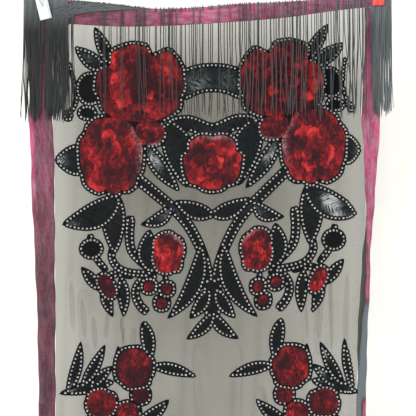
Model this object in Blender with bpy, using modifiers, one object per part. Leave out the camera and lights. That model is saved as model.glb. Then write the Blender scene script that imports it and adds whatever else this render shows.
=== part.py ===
"""Fringed net scarf with velvet borders and rose appliques, hung by two clothes pegs.

All sizes below are millimetres and become metres in point(). X runs to the viewer's right, the
front of the cloth faces -Y and +Z is up. Places on the cloth are written as (x, t), where t is
the distance below the hem's reference line. The origin is midway between the pegs' upper ends.
"""
import math

import bmesh
import bpy
import numpy as np
from mathutils import Matrix, Vector
from mathutils.geometry import delaunay_2d_cdt

MM = 0.001
HEM_DROP = 60.0
LENGTH = 1500.0
BORDER = 36.0
SEAM_GAP = 0.3

NET_WALL = 1.0
VELVET_WALL = 1.6
PATCH_WALL = 1.2
PATCH_LIFT = 0.9
FLOWER_LIFT = PATCH_LIFT + PATCH_WALL + 0.5

COLUMN_STEP = 24.0
COLUMNS = [COLUMN_STEP * i for i in range(-8, 9)]
ROW_STEP = 58.0
FIRST_ROW = 58.0
NET_END = LENGTH - BORDER

FOLD_PITCH = 170.0
FOLD_SLANT = 0.06
FOLD_DEPTH_TOP = 1.2
FOLD_DEPTH_END = 8.0
FOLD_START = 620.0
ROLL_RADIUS = 3.0

# Side edges, a row for each height: t, x of the left edge, x of the right edge, and how much of
# the right border lies in front before it turns back behind the net.
EDGE_COLUMNS = ("t", "left", "right", "front_width")
EDGE_ROWS = (
    (0, -264, 229, 4.5),
    (52, -262, 232, 14),
    (81, -261, 238, 24),
    (152, -259, 242, 28),
    (209, -258, 235, 22),
    (280, -256, 227, 11),
    (351, -251, 224, 4.5),
    (493, -245, 223, 4.5),
    (1500, -245, 223, 4.5),
)

# Top hem, a row for each station: x, t of its upper edge, and the width that shows.
HEM_COLUMNS = ("x", "top", "width")
HEM_ROWS = (
    (-270, -5, 33),
    (-202, -4, 34),
    (-146, 1, 32),
    (-82, 8, 25),
    (-18, 6, 24),
    (25, 2, 25),
    (110, -2, 22),
    (181, -7, 17),
    (250, -11, 14),
)
HEM_RIGHT = 244.0

# The right half of the design hangs a little higher than the left, and its top is drawn inwards.
RIGHT_LIFT = 16.0
RIGHT_LIFT_T = 260.0
RIGHT_LIFT_SPREAD = 200.0
RIGHT_LIFT_X = 150.0
RIGHT_DRAW = 10.0
RIGHT_DRAW_T = 95.0
RIGHT_DRAW_SPREAD = 60.0
RIGHT_SQUEEZE_X = 190.0
RIGHT_SQUEEZE = 0.4

# Flowers of the left half. Columns: name, x, t, half width, half height, petals, turn in degrees
# and height of the petals' relief.
LEFT_FLOWERS = (
    ("rose_upper", -103, 115, 62, 54, 8, 10, 2.6),
    ("petal_upper", -87, 190, 18, 14, 3, 100, 1.2),
    ("rose_middle", -144, 217, 44, 54, 7, 0, 2.6),
    ("bud", -63, 355, 21, 28, 5, -15, 2.0),
    ("side_bud", -150, 402, 9, 17, 3, -28, 1.2),
    ("berry_a", -90, 402, 8, 8, 3, 0, 1.6),
    ("berry_b", -65, 406, 8, 8, 3, 40, 1.6),
    ("berry_c", -72, 426, 8, 8, 3, 80, 1.6),
    ("rose_lower", -111, 518, 24, 26, 6, 15, 2.2),
    ("petal_lower", -102, 557, 11, 10, 3, 60, 1.2),
    ("rose_low_side", -158, 568, 20, 18, 5, 0, 2.0),
    ("rose_low_inner", -120, 583, 15, 15, 5, 20, 2.0),
)
CENTRE_FLOWER = ("rose_centre", 0, 226, 41, 38, 7, 12, 2.4)
LOWER_NAMES = ("rose_lower", "petal_lower", "rose_low_side", "rose_low_inner")
BACKING_MARGIN = 8.0
SMALL_BACKING_MARGIN = 6.0
SMALL_FLOWER = 22.0
TINY_FLOWER = 10.0
FLAT_ANGLE = 4.0

# Leaves of the upper spray, left half. Columns: base x, base t, tip x, tip t, width, and how far
# the rib bows aside.
UPPER_LEAVES = (
    (-142, 92, -168, 33, 21, 0),
    (-150, 98, -196, 62, 25, -1),
    (-167, 223, -225, 223, 46, 0),
    (-129, 274, -215, 315, 40, -9),
    (-142, 262, -139, 359, 36, 0),
    (-158, 409, -187, 374, 18, 0),
    (-150, 392, -141, 447, 19, 5),
    (-130, 386, -126, 447, 19, -2),
    (-86, 385, -89, 320, 30, -5),
    (-56, 286, -103, 315, 22, -8),
    (4, 302, -56, 281, 27, -3),
    (-16, 340, -66, 450, 27, -15),
    (-4, 404, -33, 449, 22, -3),
    (4, 436, -38, 478, 20, -5),
    (-64, 166, -36, 264, 46, -4),
    (-96, 196, -46, 268, 26, 4),
)
# Leaves of the lower spray, left side, with the same columns.
LOWER_LEAVES = (
    (-98, 450, -88, 512, 22, -2),
    (-207, 556, -187, 479, 18, 4),
    (-187, 547, -152, 484, 18, 2),
    (-174, 548, -140, 515, 17, -2),
    (-138, 540, -134, 486, 17, 3),
    (-138, 537, -219, 555, 20, 0),
    (-89, 515, -22, 531, 19, -3),
    (-108, 596, -61, 562, 20, 4),
    (-160, 576, -186, 630, 22, 3),
    (-122, 588, -112, 648, 22, -3),
)

# Stems, left half. Columns: width at the start, width at the end, the points they pass.
UPPER_STEMS = (
    (18, 15, ((-118, 240), (-74, 276), (-47, 300), (-28, 326), (-12, 362), (-4, 398))),
    (7, 9, ((-204, 84), (-197, 112), (-194, 140), (-205, 160))),
    (12, 12, ((-141, 346), (-143, 362), (-134, 376), (-116, 383), (-86, 385))),
    (15, 12, ((-116, 302), (-118, 329), (-115, 351), (-103, 366), (-87, 379))),
    (12, 14, ((-79, 386), (-96, 390), (-107, 402), (-109, 415), (-103, 429), (-92, 440))),
    (11, 11, ((-174, 328), (-171, 344), (-165, 362), (-150, 381))),
    (12, 12, ((-150, 388), (-132, 384), (-112, 388))),
    (9, 9, ((-88, 384), (-90, 402))),
    (9, 9, ((-68, 384), (-65, 406), (-72, 426))),
)
CENTRE_STEMS = (
    (42, 42, ((-54, 124), (-26, 110), (0, 106), (26, 110), (54, 124))),
    (24, 24, ((-64, 176), (-34, 171), (0, 182), (34, 171), (64, 176))),
    (34, 22, ((0, 376), (0, 410), (0, 456))),
)
# Round lobes of the upper spray, left half, and the slot in its trunk. Columns: x, t, half width,
# half height.
LOBES = (
    (-174, 122, 21, 25),
    (-172, 349, 18, 16),
    (-205, 160, 8, 9),
    (-178, 156, 15, 12),
)
SLOT = (0, 402, 2.5, 8)

STRAND = 2.0
STRAND_LENGTH = 166.0
TAPE_HEIGHT = 3.0
TAPE_NEAR = 1.3
TAPE_FAR = 3.4
TAPE_STEP = 18.0
STRAND_CLEAR = 9.5
STRAND_BEND = 12.0
STRAND_FREE = 42.0
STRAND_UNEVEN = 8.0
BOTTOM_STRANDS = 50

# Top fringe, a row for each bunch. Columns: x of the first and last root, strands, and how far the
# first and last strand's free ends drift aside.
FRONT_BUNCHES = (
    (-266, -255, 5, -6, -2),
    (-221, -198, 9, -16, -4),
    (-190, 30, 14, -3, 2),
    (38, 222, 27, 0, 3),
    (247, 256, 4, -8, -3),
)
BACK_BUNCHES = (
    (-150, -110, 4, 0, 2),
    (-104, 28, 16, 1, -2),
    (60, 160, 4, 2, 0),
)

PEG_WIDTH = 17.0
PEG_MIDDLE = -1.3
# Lever profile: distance out from the peg's middle plane, height above its tip.
LEVER_PROFILE = ((2.9, 0), (2.9, 18), (4.2, 30), (4.2, 46), (9.5, 75), (12.5, 75), (9.5, 46), (9, 20), (5.9, 0))
SPRING_RADIUS = 3.8
SPRING_LENGTH = 13.0
SPRING_HEIGHT = 38.0
SPRING_SIDES = 12
NOTCH_TOP_WIDTH = 8.0
NOTCH_LOW = 18.0
NOTCH_HIGH = 32.0
# Pegs. Columns: side, x and t of the tip's middle, and lean of the top to the left in degrees.
PEGS = (
    ("left", -235.7, 23.6, 13.0),
    ("right", 235.3, 4.0, 0.5),
)

# Materials: colour, roughness, metallic.
MATERIALS = {
    "net": ((0.16, 0.15, 0.13, 1), 0.85, 0.0),
    "burgundy_velvet": ((0.16, 0.02, 0.05, 1), 0.8, 0.0),
    "black_satin": ((0.012, 0.016, 0.018, 1), 0.45, 0.0),
    "red_velvet": ((0.45, 0.01, 0.015, 1), 0.7, 0.0),
    "fringe_cord": ((0.035, 0.037, 0.035, 1), 0.6, 0.0),
    "pale_plastic": ((0.75, 0.85, 0.80, 1), 0.35, 0.0),
    "red_plastic": ((0.75, 0.02, 0.02, 1), 0.35, 0.0),
    "spring_steel": ((0.6, 0.6, 0.6, 1), 0.3, 1.0),
}


def clear_scene():
    for item in list(bpy.data.objects):
        bpy.data.objects.remove(item, do_unlink=True)


def new_collection(name):
    collection = bpy.data.collections.new(name)
    bpy.context.scene.collection.children.link(collection)
    return collection


def material(name):
    found = bpy.data.materials.get(name)
    if found:
        return found
    colour, roughness, metallic = MATERIALS[name]
    made = bpy.data.materials.new(name)
    made.use_nodes = True
    made.diffuse_color = colour
    shader = made.node_tree.nodes["Principled BSDF"]
    shader.inputs["Base Color"].default_value = colour
    shader.inputs["Roughness"].default_value = roughness
    shader.inputs["Metallic"].default_value = metallic
    return made


def add_object(name, bm, material_name, collection, smooth=True):
    mesh = bpy.data.meshes.new(name)
    bm.to_mesh(mesh)
    bm.free()
    if smooth:
        mesh.shade_smooth()
    mesh.materials.append(material(material_name))
    item = bpy.data.objects.new(name, mesh)
    collection.objects.link(item)
    return item


def add_wall(item, thickness, offset):
    solid = item.modifiers.new("wall", "SOLIDIFY")
    solid.thickness = thickness * MM
    solid.offset = offset


def table_column(rows, columns, name):
    index = columns.index(name)
    return np.array([row[index] for row in rows], dtype=float)


def soft_interp(x, xs, ys):
    """Value of a smooth curve through the table's points (Catmull-Rom)."""
    x = min(max(x, xs[0]), xs[-1])
    i = int(min(max(np.searchsorted(xs, x) - 1, 0), len(xs) - 2))
    slopes = np.gradient(ys, xs)
    span = xs[i + 1] - xs[i]
    u = (x - xs[i]) / span
    rise = (2 * u**3 - 3 * u**2 + 1) * ys[i] + (-2 * u**3 + 3 * u**2) * ys[i + 1]
    return rise + span * ((u**3 - 2 * u**2 + u) * slopes[i] + (u**3 - u**2) * slopes[i + 1])


def smooth_step(u):
    u = min(max(u, 0.0), 1.0)
    return u * u * (3 - 2 * u)


EDGE_T = table_column(EDGE_ROWS, EDGE_COLUMNS, "t")
EDGE_LEFT = table_column(EDGE_ROWS, EDGE_COLUMNS, "left")
EDGE_RIGHT = table_column(EDGE_ROWS, EDGE_COLUMNS, "right")
EDGE_FRONT = table_column(EDGE_ROWS, EDGE_COLUMNS, "front_width")
HEM_X = table_column(HEM_ROWS, HEM_COLUMNS, "x")
HEM_TOP = table_column(HEM_ROWS, HEM_COLUMNS, "top")
HEM_WIDTH = table_column(HEM_ROWS, HEM_COLUMNS, "width")


def left_edge(t):
    return float(np.interp(t, EDGE_T, EDGE_LEFT))


def right_edge(t):
    return float(np.interp(t, EDGE_T, EDGE_RIGHT))


def front_width(t):
    return float(np.interp(t, EDGE_T, EDGE_FRONT))


def left_seam(t):
    return left_edge(t) + BORDER


def right_seam(t):
    return right_edge(t) - front_width(t)


def hem_top(x):
    return soft_interp(x, HEM_X, HEM_TOP)


def hem_low(x):
    return hem_top(x) + soft_interp(x, HEM_X, HEM_WIDTH)


def depth(x, t):
    """How far the hanging cloth lies behind its plane: soft folds, deeper towards the end."""
    amount = FOLD_DEPTH_TOP + (FOLD_DEPTH_END - FOLD_DEPTH_TOP) * smooth_step((t - FOLD_START) / (LENGTH - FOLD_START))
    return amount * math.sin(math.tau * (x + FOLD_SLANT * t) / FOLD_PITCH)


def point(x, t, behind):
    """World place, in metres, of cloth place (x, t), moved back from the plane by behind."""
    return Vector((x, behind, -HEM_DROP - t)) * MM


def cloth_point(x, t, out=0.0):
    """World place of a point out in front of the cloth, along the cloth's normal."""
    step = 1.0
    slope_x = (depth(x + step, t) - depth(x - step, t)) / (2 * step)
    slope_t = (depth(x, t + step) - depth(x, t - step)) / (2 * step)
    normal = Vector((slope_x, -1.0, -slope_t)).normalized()
    place = Vector((x, depth(x, t), -HEM_DROP - t)) + normal * out
    return place * MM


def grid_sheet(columns, rows, place):
    """A grid whose vertices are placed by place(column, row), its front facing -Y."""
    bm = bmesh.new()
    bmesh.ops.create_grid(bm, x_segments=columns, y_segments=rows, size=1.0)
    for vertex in bm.verts:
        column = round((vertex.co.x + 1) / 2 * columns)
        row = round((1 - vertex.co.y) / 2 * rows)
        vertex.co = place(column, row)
    bm.normal_update()
    if sum(face.normal.y for face in bm.faces) > 0:
        bmesh.ops.reverse_faces(bm, faces=bm.faces)
    return bm


ROWS = [FIRST_ROW + ROW_STEP * i for i in range(int((NET_END - FIRST_ROW) / ROW_STEP) + 1)]
ROWS[-1] = NET_END


def row_t(row, x):
    """Height of a cloth row: the first follows the hem's lower edge."""
    if row == 0:
        return hem_low(x) + SEAM_GAP
    return ROWS[row - 1]


def make_net(collection):
    def place(column, row):
        t = row_t(row, COLUMNS[0])
        if column == 0:
            x = left_seam(t) + SEAM_GAP
        elif column > len(COLUMNS):
            x = right_seam(t) - SEAM_GAP
        else:
            x = COLUMNS[column - 1]
        return cloth_point(x, row_t(row, x))

    item = add_object("net_panel", grid_sheet(len(COLUMNS) + 1, len(ROWS), place), "net", collection)
    add_wall(item, NET_WALL, 0.0)


def make_side_borders(collection):
    def place_left(column, row):
        t = row_t(row, left_edge(0))
        x = left_edge(t) + BORDER * column / 2
        return cloth_point(x, row_t(row, x))

    item = add_object("border_left", grid_sheet(2, len(ROWS), place_left), "burgundy_velvet", collection)
    add_wall(item, VELVET_WALL, 0.0)

    turns = 4

    def place_right(column, row):
        t = row_t(row, right_edge(0))
        outer = right_edge(t)
        start = right_seam(t)
        bend = outer - ROLL_RADIUS
        used = bend - start + math.pi * ROLL_RADIUS
        if column == 0:
            return cloth_point(start, row_t(row, start))
        if column <= turns + 1:
            angle = math.pi * (column - 1) / turns
            x = bend + ROLL_RADIUS * math.sin(angle)
            back = ROLL_RADIUS * (1 - math.cos(angle))
            return cloth_point(x, row_t(row, bend), -back)
        x = bend - (BORDER - used)
        return cloth_point(x, row_t(row, bend), -2 * ROLL_RADIUS)

    item = add_object("border_right", grid_sheet(turns + 2, len(ROWS), place_right), "burgundy_velvet", collection)
    add_wall(item, VELVET_WALL, 0.0)


def make_end_borders(collection):
    hem_xs = [left_edge(0)] + [COLUMN_STEP * i for i in range(-10, 10)] + [HEM_RIGHT]

    def place_top(column, row):
        x = hem_xs[column]
        t = hem_top(x) if row == 0 else hem_low(x)
        return cloth_point(x, t)

    item = add_object("border_top", grid_sheet(len(hem_xs) - 1, 1, place_top), "burgundy_velvet", collection)
    add_wall(item, VELVET_WALL, 0.0)

    end_xs = [left_edge(LENGTH)] + [COLUMN_STEP * i for i in range(-9, 10)] + [right_edge(LENGTH)]

    def place_end(column, row):
        t = LENGTH if row else NET_END + SEAM_GAP
        return cloth_point(end_xs[column], t)

    item = add_object("border_bottom", grid_sheet(len(end_xs) - 1, 1, place_end), "burgundy_velvet", collection)
    add_wall(item, VELVET_WALL, 0.0)


def hang(x, t):
    """Where a design point lies on the hung cloth: the right half is drawn up and in a little."""
    if x <= 0:
        return (x, t)
    amount = smooth_step(x / RIGHT_LIFT_X)
    rise = RIGHT_LIFT * math.exp(-(((t - RIGHT_LIFT_T) / RIGHT_LIFT_SPREAD) ** 2))
    draw = RIGHT_DRAW * math.exp(-(((t - RIGHT_DRAW_T) / RIGHT_DRAW_SPREAD) ** 2))
    squeeze = RIGHT_SQUEEZE * max(0.0, x - RIGHT_SQUEEZE_X)
    return (x - draw * amount - squeeze, t - rise * amount)


def mirrored(loop):
    return [(-x, t) for x, t in reversed(loop)]


def leaf_loop(base_x, base_t, tip_x, tip_t, width, bow):
    """Outline of a pointed leaf along a bowed rib."""
    steps = 6
    along = Vector((tip_x - base_x, tip_t - base_t))
    across = Vector((-along.y, along.x)).normalized()
    start = Vector((base_x, base_t))
    sides = ([], [])
    for i in range(1, steps):
        u = i / steps
        rib = start + along * u + across * (bow * 4 * u * (1 - u))
        half = width / 2 * math.sin(math.pi * u**0.85) ** 0.75
        sides[0].append(tuple(rib + across * half))
        sides[1].append(tuple(rib - across * half))
    return [tuple(start)] + sides[0] + [(tip_x, tip_t)] + sides[1][::-1]


def stem_points(route, steps):
    """Points along a smooth curve through a stem's route."""
    places = np.array(route, dtype=float)
    marks = np.arange(len(route), dtype=float)
    found = []
    for i in range((len(route) - 1) * steps + 1):
        mark = i / steps
        found.append(Vector((soft_interp(mark, marks, places[:, 0]), soft_interp(mark, marks, places[:, 1]))))
    return found


def stem_loop(start_width, end_width, route):
    """Outline of a stem with blunt rounded ends."""
    points = stem_points(route, 3)
    sides = ([], [])
    for i, place in enumerate(points):
        after = points[min(i + 1, len(points) - 1)]
        before = points[max(i - 1, 0)]
        along = (after - before).normalized()
        across = Vector((-along.y, along.x))
        u = i / (len(points) - 1)
        half = (start_width * (1 - u) + end_width * u) / 2
        if i in (0, len(points) - 1):
            half *= 0.6
        sides[0].append(tuple(place + across * half))
        sides[1].append(tuple(place - across * half))
    return sides[0] + sides[1][::-1]


def oval_loop(x, t, half_width, half_height, turn=0.0, points=16):
    angle = math.radians(turn)
    loop = []
    for i in range(points):
        a = math.tau * i / points
        across = half_width * math.cos(a)
        down = half_height * math.sin(a)
        loop.append((x + across * math.cos(angle) - down * math.sin(angle),
                     t + across * math.sin(angle) + down * math.cos(angle)))
    return loop


def backing_loop(flower):
    _, x, t, rx, rt, _, turn, _ = flower
    margin = BACKING_MARGIN if rx > SMALL_FLOWER else SMALL_BACKING_MARGIN
    tilt = turn if rx < rt * 0.7 else 0.0
    return oval_loop(x, t, rx + margin, rt + margin, tilt, 20 if rx > SMALL_FLOWER else 12)


def turns_left(loop):
    """Whether a loop runs counter-clockwise in (x, t)."""
    return sum(a[0] * b[1] - b[0] * a[1] for a, b in zip(loop, loop[1:] + loop[:1])) > 0


def fused_patch(name, loops, holes, collection):
    """One flat applique from overlapping outlines, cut at the cloth's columns and laid on it."""
    points, faces = [], []
    for loop in loops + holes:
        first = len(points)
        points.extend(Vector(hang(x, t)) for x, t in (loop if turns_left(loop) else loop[::-1]))
        faces.append(list(range(first, len(points))))
    tolerance = 0.01
    places, _, triangles, _, _, sources = delaunay_2d_cdt(points, [], faces, 0, tolerance, True)
    bm = bmesh.new()
    vertices = [bm.verts.new((place.x, place.y, 0)) for place in places]
    for triangle, inside in zip(triangles, sources):
        if inside and max(inside) < len(loops):
            bm.faces.new([vertices[i] for i in triangle])
    bmesh.ops.delete(bm, geom=[v for v in bm.verts if not v.link_faces], context="VERTS")
    bmesh.ops.dissolve_limit(bm, angle_limit=math.radians(FLAT_ANGLE), verts=bm.verts, edges=bm.edges)
    for x in COLUMNS:
        bmesh.ops.bisect_plane(bm, geom=bm.verts[:] + bm.edges[:] + bm.faces[:], dist=tolerance,
                               plane_co=(x, 0, 0), plane_no=(1, 0, 0))
    for vertex in bm.verts:
        vertex.co = cloth_point(vertex.co.x, vertex.co.y, PATCH_LIFT)
    bm.normal_update()
    for face in bm.faces:
        if face.normal.y > 0:
            face.normal_flip()
    item = add_object(name, bm, "black_satin", collection, smooth=False)
    add_wall(item, PATCH_WALL, 1.0)


def make_sprays(collection):
    left = [leaf_loop(*row) for row in UPPER_LEAVES]
    left += [stem_loop(*row) for row in UPPER_STEMS]
    left += [oval_loop(*row) for row in LOBES]
    left += [backing_loop(row) for row in LEFT_FLOWERS if row[0] not in LOWER_NAMES]
    centre = [stem_loop(*row) for row in CENTRE_STEMS] + [backing_loop(CENTRE_FLOWER)]
    fused_patch("spray_upper", left + [mirrored(loop) for loop in left] + centre, [oval_loop(*SLOT, points=8)],
                collection)
    low = [leaf_loop(*row) for row in LOWER_LEAVES]
    low += [backing_loop(row) for row in LEFT_FLOWERS if row[0] in LOWER_NAMES]
    fused_patch("spray_lower_left", low, [], collection)
    fused_patch("spray_lower_right", [mirrored(loop) for loop in low], [], collection)


def flower(name, x, t, rx, rt, petals, turn, relief, collection, side=1):
    """A flower of crushed velvet: lobed outline, petals raised in rings over a plain inside."""
    large = rx > SMALL_FLOWER
    around = petals * 3
    rings = (1.0, 0.72, 0.4) if large else (1.0, 0.6) if rx > TINY_FLOWER else (1.0,)
    turn_angle = math.radians(turn)

    def place(ring, i, height):
        a = math.tau * i / around
        swirl = a + 0.5 * (1 - ring) * math.tau / petals
        lobe = 1 - 0.12 * (1 - abs(math.sin(petals * swirl / 2 + turn_angle))) * ring
        across, down = rx * ring * lobe * math.cos(a), rt * ring * lobe * math.sin(a)
        tilt = turn_angle if rx < rt * 0.7 else 0.0
        px = x + across * math.cos(tilt) - down * math.sin(tilt)
        pt = t + across * math.sin(tilt) + down * math.cos(tilt)
        hung = hang(side * px, pt)
        return cloth_point(hung[0], hung[1], FLOWER_LIFT + height)

    def top_height(index, i):
        if index == 0:
            return 1.0
        if not large:
            return 1.0 + relief * 0.6
        ridge = math.sin(petals * math.tau * i / around / 2 + index * 1.3 + turn_angle) ** 2
        return 1.0 + relief * (0.35 + 0.65 * ridge) * (0.75 if index % 2 else 1.0)

    bm = bmesh.new()
    layers = []
    for heights in (top_height, lambda index, i: 0.0):
        loops = [[bm.verts.new(place(ring, i, heights(index, i))) for i in range(around)]
                 for index, ring in enumerate(rings)]
        hub = bm.verts.new(place(0.0, 0, heights(len(rings), 0)))
        for outer, inner in zip(loops, loops[1:]):
            for i in range(around):
                j = (i + 1) % around
                bm.faces.new((outer[i], outer[j], inner[j], inner[i]))
        for i in range(around):
            bm.faces.new((loops[-1][i], loops[-1][(i + 1) % around], hub))
        layers.append(loops[0])
    for i in range(around):
        j = (i + 1) % around
        bm.faces.new((layers[0][j], layers[0][i], layers[1][i], layers[1][j]))
    bmesh.ops.recalc_face_normals(bm, faces=bm.faces)
    add_object(name, bm, "red_velvet", collection)


def make_flowers(collection):
    flower(*CENTRE_FLOWER, collection)
    for row in LEFT_FLOWERS:
        flower(row[0] + "_left", *row[1:], collection)
        flower(row[0] + "_right", *row[1:], collection, side=-1)


def uneven(i):
    """A repeatable number from 0 to 1 for the strand with this index."""
    return (math.sin(i * 12.9898) * 43758.5453) % 1.0


def bunch_strands(bunches):
    """Root x and shift of each strand, bunch by bunch."""
    strands = []
    for from_x, to_x, count, start_shift, end_shift in bunches:
        for i in range(count):
            u = (i + 0.5) / count
            wobble = (uneven(len(strands)) - 0.5) * 0.5 * (to_x - from_x - count * STRAND) / count
            strands.append((from_x + (to_x - from_x) * u + wobble, start_shift + (end_shift - start_shift) * u))
    return strands


def bare_marks(start, end):
    """Stations along a bare stretch of tape, close enough to follow the cloth's curve."""
    pieces = max(1, math.ceil((end - start) / TAPE_STEP))
    return [start + (end - start) * (i + 1) / pieces for i in range(pieces)]


def make_fringe(name, from_x, to_x, strands, corners, path, collection):
    """Strands drawn out of the underside of a narrow heading tape."""
    marks = [from_x]
    strand_at = {}
    for index, (x, _) in enumerate(strands):
        marks += bare_marks(marks[-1], x - STRAND / 2)
        strand_at[len(marks) - 1] = index
        marks.append(x + STRAND / 2)
    marks += bare_marks(marks[-1], to_x)
    bm = bmesh.new()
    rings = [[bm.verts.new(corner) for corner in corners(x)] for x in marks]
    bm.faces.new(rings[0])
    bm.faces.new(rings[-1][::-1])
    for cell, (ring, after) in enumerate(zip(rings, rings[1:])):
        for i in range(4):
            j = (i + 1) % 4
            face = bm.faces.new((ring[i], after[i], after[j], ring[j]))
            if i == 2 and cell in strand_at:
                root_x, shift = strands[strand_at[cell]]
                for step in path(root_x, shift, strand_at[cell]):
                    grown = bmesh.ops.extrude_discrete_faces(bm, faces=[face])
                    face = grown["faces"][0]
                    bmesh.ops.translate(bm, verts=face.verts, vec=step)
    bmesh.ops.recalc_face_normals(bm, faces=bm.faces)
    add_object(name, bm, "fringe_cord", collection, smooth=False)


def top_fringe(name, from_x, to_x, bunches, side, collection):
    """Fringe of the short end on show, hanging in front (side 1) or behind (side -1)."""
    def corners(x):
        t = hem_top(x) + 0.5
        y = depth(x, t)
        near = y - side * TAPE_NEAR
        far = y - side * TAPE_FAR
        return (point(x, t, near), point(x, t, far), point(x, t + TAPE_HEIGHT, far), point(x, t + TAPE_HEIGHT, near))

    def path(x, shift, index):
        length = STRAND_LENGTH - STRAND_UNEVEN * uneven(index + 7) - (hem_top(x) + TAPE_HEIGHT)
        out = (STRAND_CLEAR - (TAPE_NEAR + TAPE_FAR) / 2) * side * MM
        steps = [Vector((0, -out * 0.3, -STRAND_BEND * MM)),
                 Vector((0, -out * 0.7, -(STRAND_FREE - STRAND_BEND) * MM)),
                 Vector((shift * MM, 0, -(length - STRAND_FREE) * MM))]
        return steps

    make_fringe(name, from_x, to_x, bunch_strands(bunches), corners, path, collection)


def make_fringes(collection):
    top_fringe("fringe_top_front", -268, 258, FRONT_BUNCHES, 1, collection)
    top_fringe("fringe_top_back", -152, 162, BACK_BUNCHES, -1, collection)

    def corners(x):
        t = LENGTH + SEAM_GAP
        half = (TAPE_FAR - TAPE_NEAR) / 2
        y = depth(x, t)
        return (point(x, t, y + half), point(x, t, y - half), point(x, t + TAPE_HEIGHT, y - half),
                point(x, t + TAPE_HEIGHT, y + half))

    def path(x, shift, index):
        length = STRAND_LENGTH - STRAND_UNEVEN * uneven(index) - TAPE_HEIGHT
        settle = -0.4 * depth(x, LENGTH) * MM
        return [Vector((0, 0, -STRAND_FREE * MM)), Vector((shift * MM, settle, -(length - STRAND_FREE) * MM))]

    end_left, end_right = left_edge(LENGTH), right_edge(LENGTH)
    strands = bunch_strands([(end_left + 2, end_right - 2, BOTTOM_STRANDS, -2, 2)])
    make_fringe("fringe_bottom", end_left, end_right, strands, corners, path, collection)


def extruded_profile(profile, width):
    """A closed outline in the Y-Z plane, drawn out along X and centred on it."""
    bm = bmesh.new()
    vertices = [bm.verts.new((-width / 2 * MM, y * MM, z * MM)) for y, z in profile]
    face = bm.faces.new(vertices)
    grown = bmesh.ops.extrude_face_region(bm, geom=[face])
    moved = [item for item in grown["geom"] if isinstance(item, bmesh.types.BMVert)]
    bmesh.ops.translate(bm, verts=moved, vec=(width * MM, 0, 0))
    bmesh.ops.recalc_face_normals(bm, faces=bm.faces)
    return bm


def make_peg(side, x, t, lean, collection, cutters):
    plastic = "pale_plastic" if side == "left" else "red_plastic"
    middle = depth(x, t) + PEG_MIDDLE
    placing = Matrix.Translation(point(x, t, middle)) @ Matrix.Rotation(-math.radians(lean), 4, "Y")
    for facing, sign in (("front", -1), ("back", 1)):
        profile = [(sign * out, height) for out, height in LEVER_PROFILE]
        item = add_object(f"peg_{side}_{facing}", extruded_profile(profile, PEG_WIDTH), plastic, collection, False)
        item.matrix_world = placing
        if facing == "front":
            cutter = notch_cutter(f"notch_{side}", cutters)
            cutter.matrix_world = placing
            cut = item.modifiers.new("notch", "BOOLEAN")
            cut.operation = "DIFFERENCE"
            cut.object = cutter
    bm = bmesh.new()
    turned = Matrix.Translation((0, 0, SPRING_HEIGHT * MM)) @ Matrix.Rotation(math.pi / 2, 4, "Y")
    bmesh.ops.create_cone(bm, cap_ends=True, segments=SPRING_SIDES, radius1=SPRING_RADIUS * MM,
                          radius2=SPRING_RADIUS * MM, depth=SPRING_LENGTH * MM, matrix=turned)
    item = add_object(f"peg_{side}_spring", bm, "spring_steel", collection, False)
    item.matrix_world = placing


def notch_cutter(name, cutters):
    """Wedge that cuts the shallow V on the front lever's face."""
    bm = bmesh.new()
    face_out = 8.0
    beyond = 20.0
    corners = ((0, NOTCH_LOW), (NOTCH_TOP_WIDTH / 2, NOTCH_HIGH), (-NOTCH_TOP_WIDTH / 2, NOTCH_HIGH))
    front = [bm.verts.new((x * MM, -beyond * MM, z * MM)) for x, z in corners]
    face = bm.faces.new(front)
    grown = bmesh.ops.extrude_face_region(bm, geom=[face])
    moved = [item for item in grown["geom"] if isinstance(item, bmesh.types.BMVert)]
    bmesh.ops.translate(bm, verts=moved, vec=(0, (beyond - face_out) * MM, 0))
    bmesh.ops.recalc_face_normals(bm, faces=bm.faces)
    item = add_object(name, bm, "spring_steel", cutters, False)
    item.hide_render = True
    item.display_type = "WIRE"
    return item


def main():
    clear_scene()
    scarf = new_collection("fringed_scarf")
    cutters = new_collection("cutters")
    make_net(scarf)
    make_side_borders(scarf)
    make_end_borders(scarf)
    make_sprays(scarf)
    make_flowers(scarf)
    make_fringes(scarf)
    for row in PEGS:
        make_peg(*row, scarf, cutters)


main()
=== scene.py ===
"""Looks of the fringed net scarf: cloth, appliques, rhinestones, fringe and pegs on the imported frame.

Sizes are millimetres until to_world() turns them into metres. Cloth places are written (x, t):
x to the viewer's right and t down from the hem's reference line. The cloth's front faces -Y.
"""
import math

import bmesh
import bpy
import numpy as np
from mathutils import Matrix, Vector
from mathutils.geometry import delaunay_2d_cdt


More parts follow.
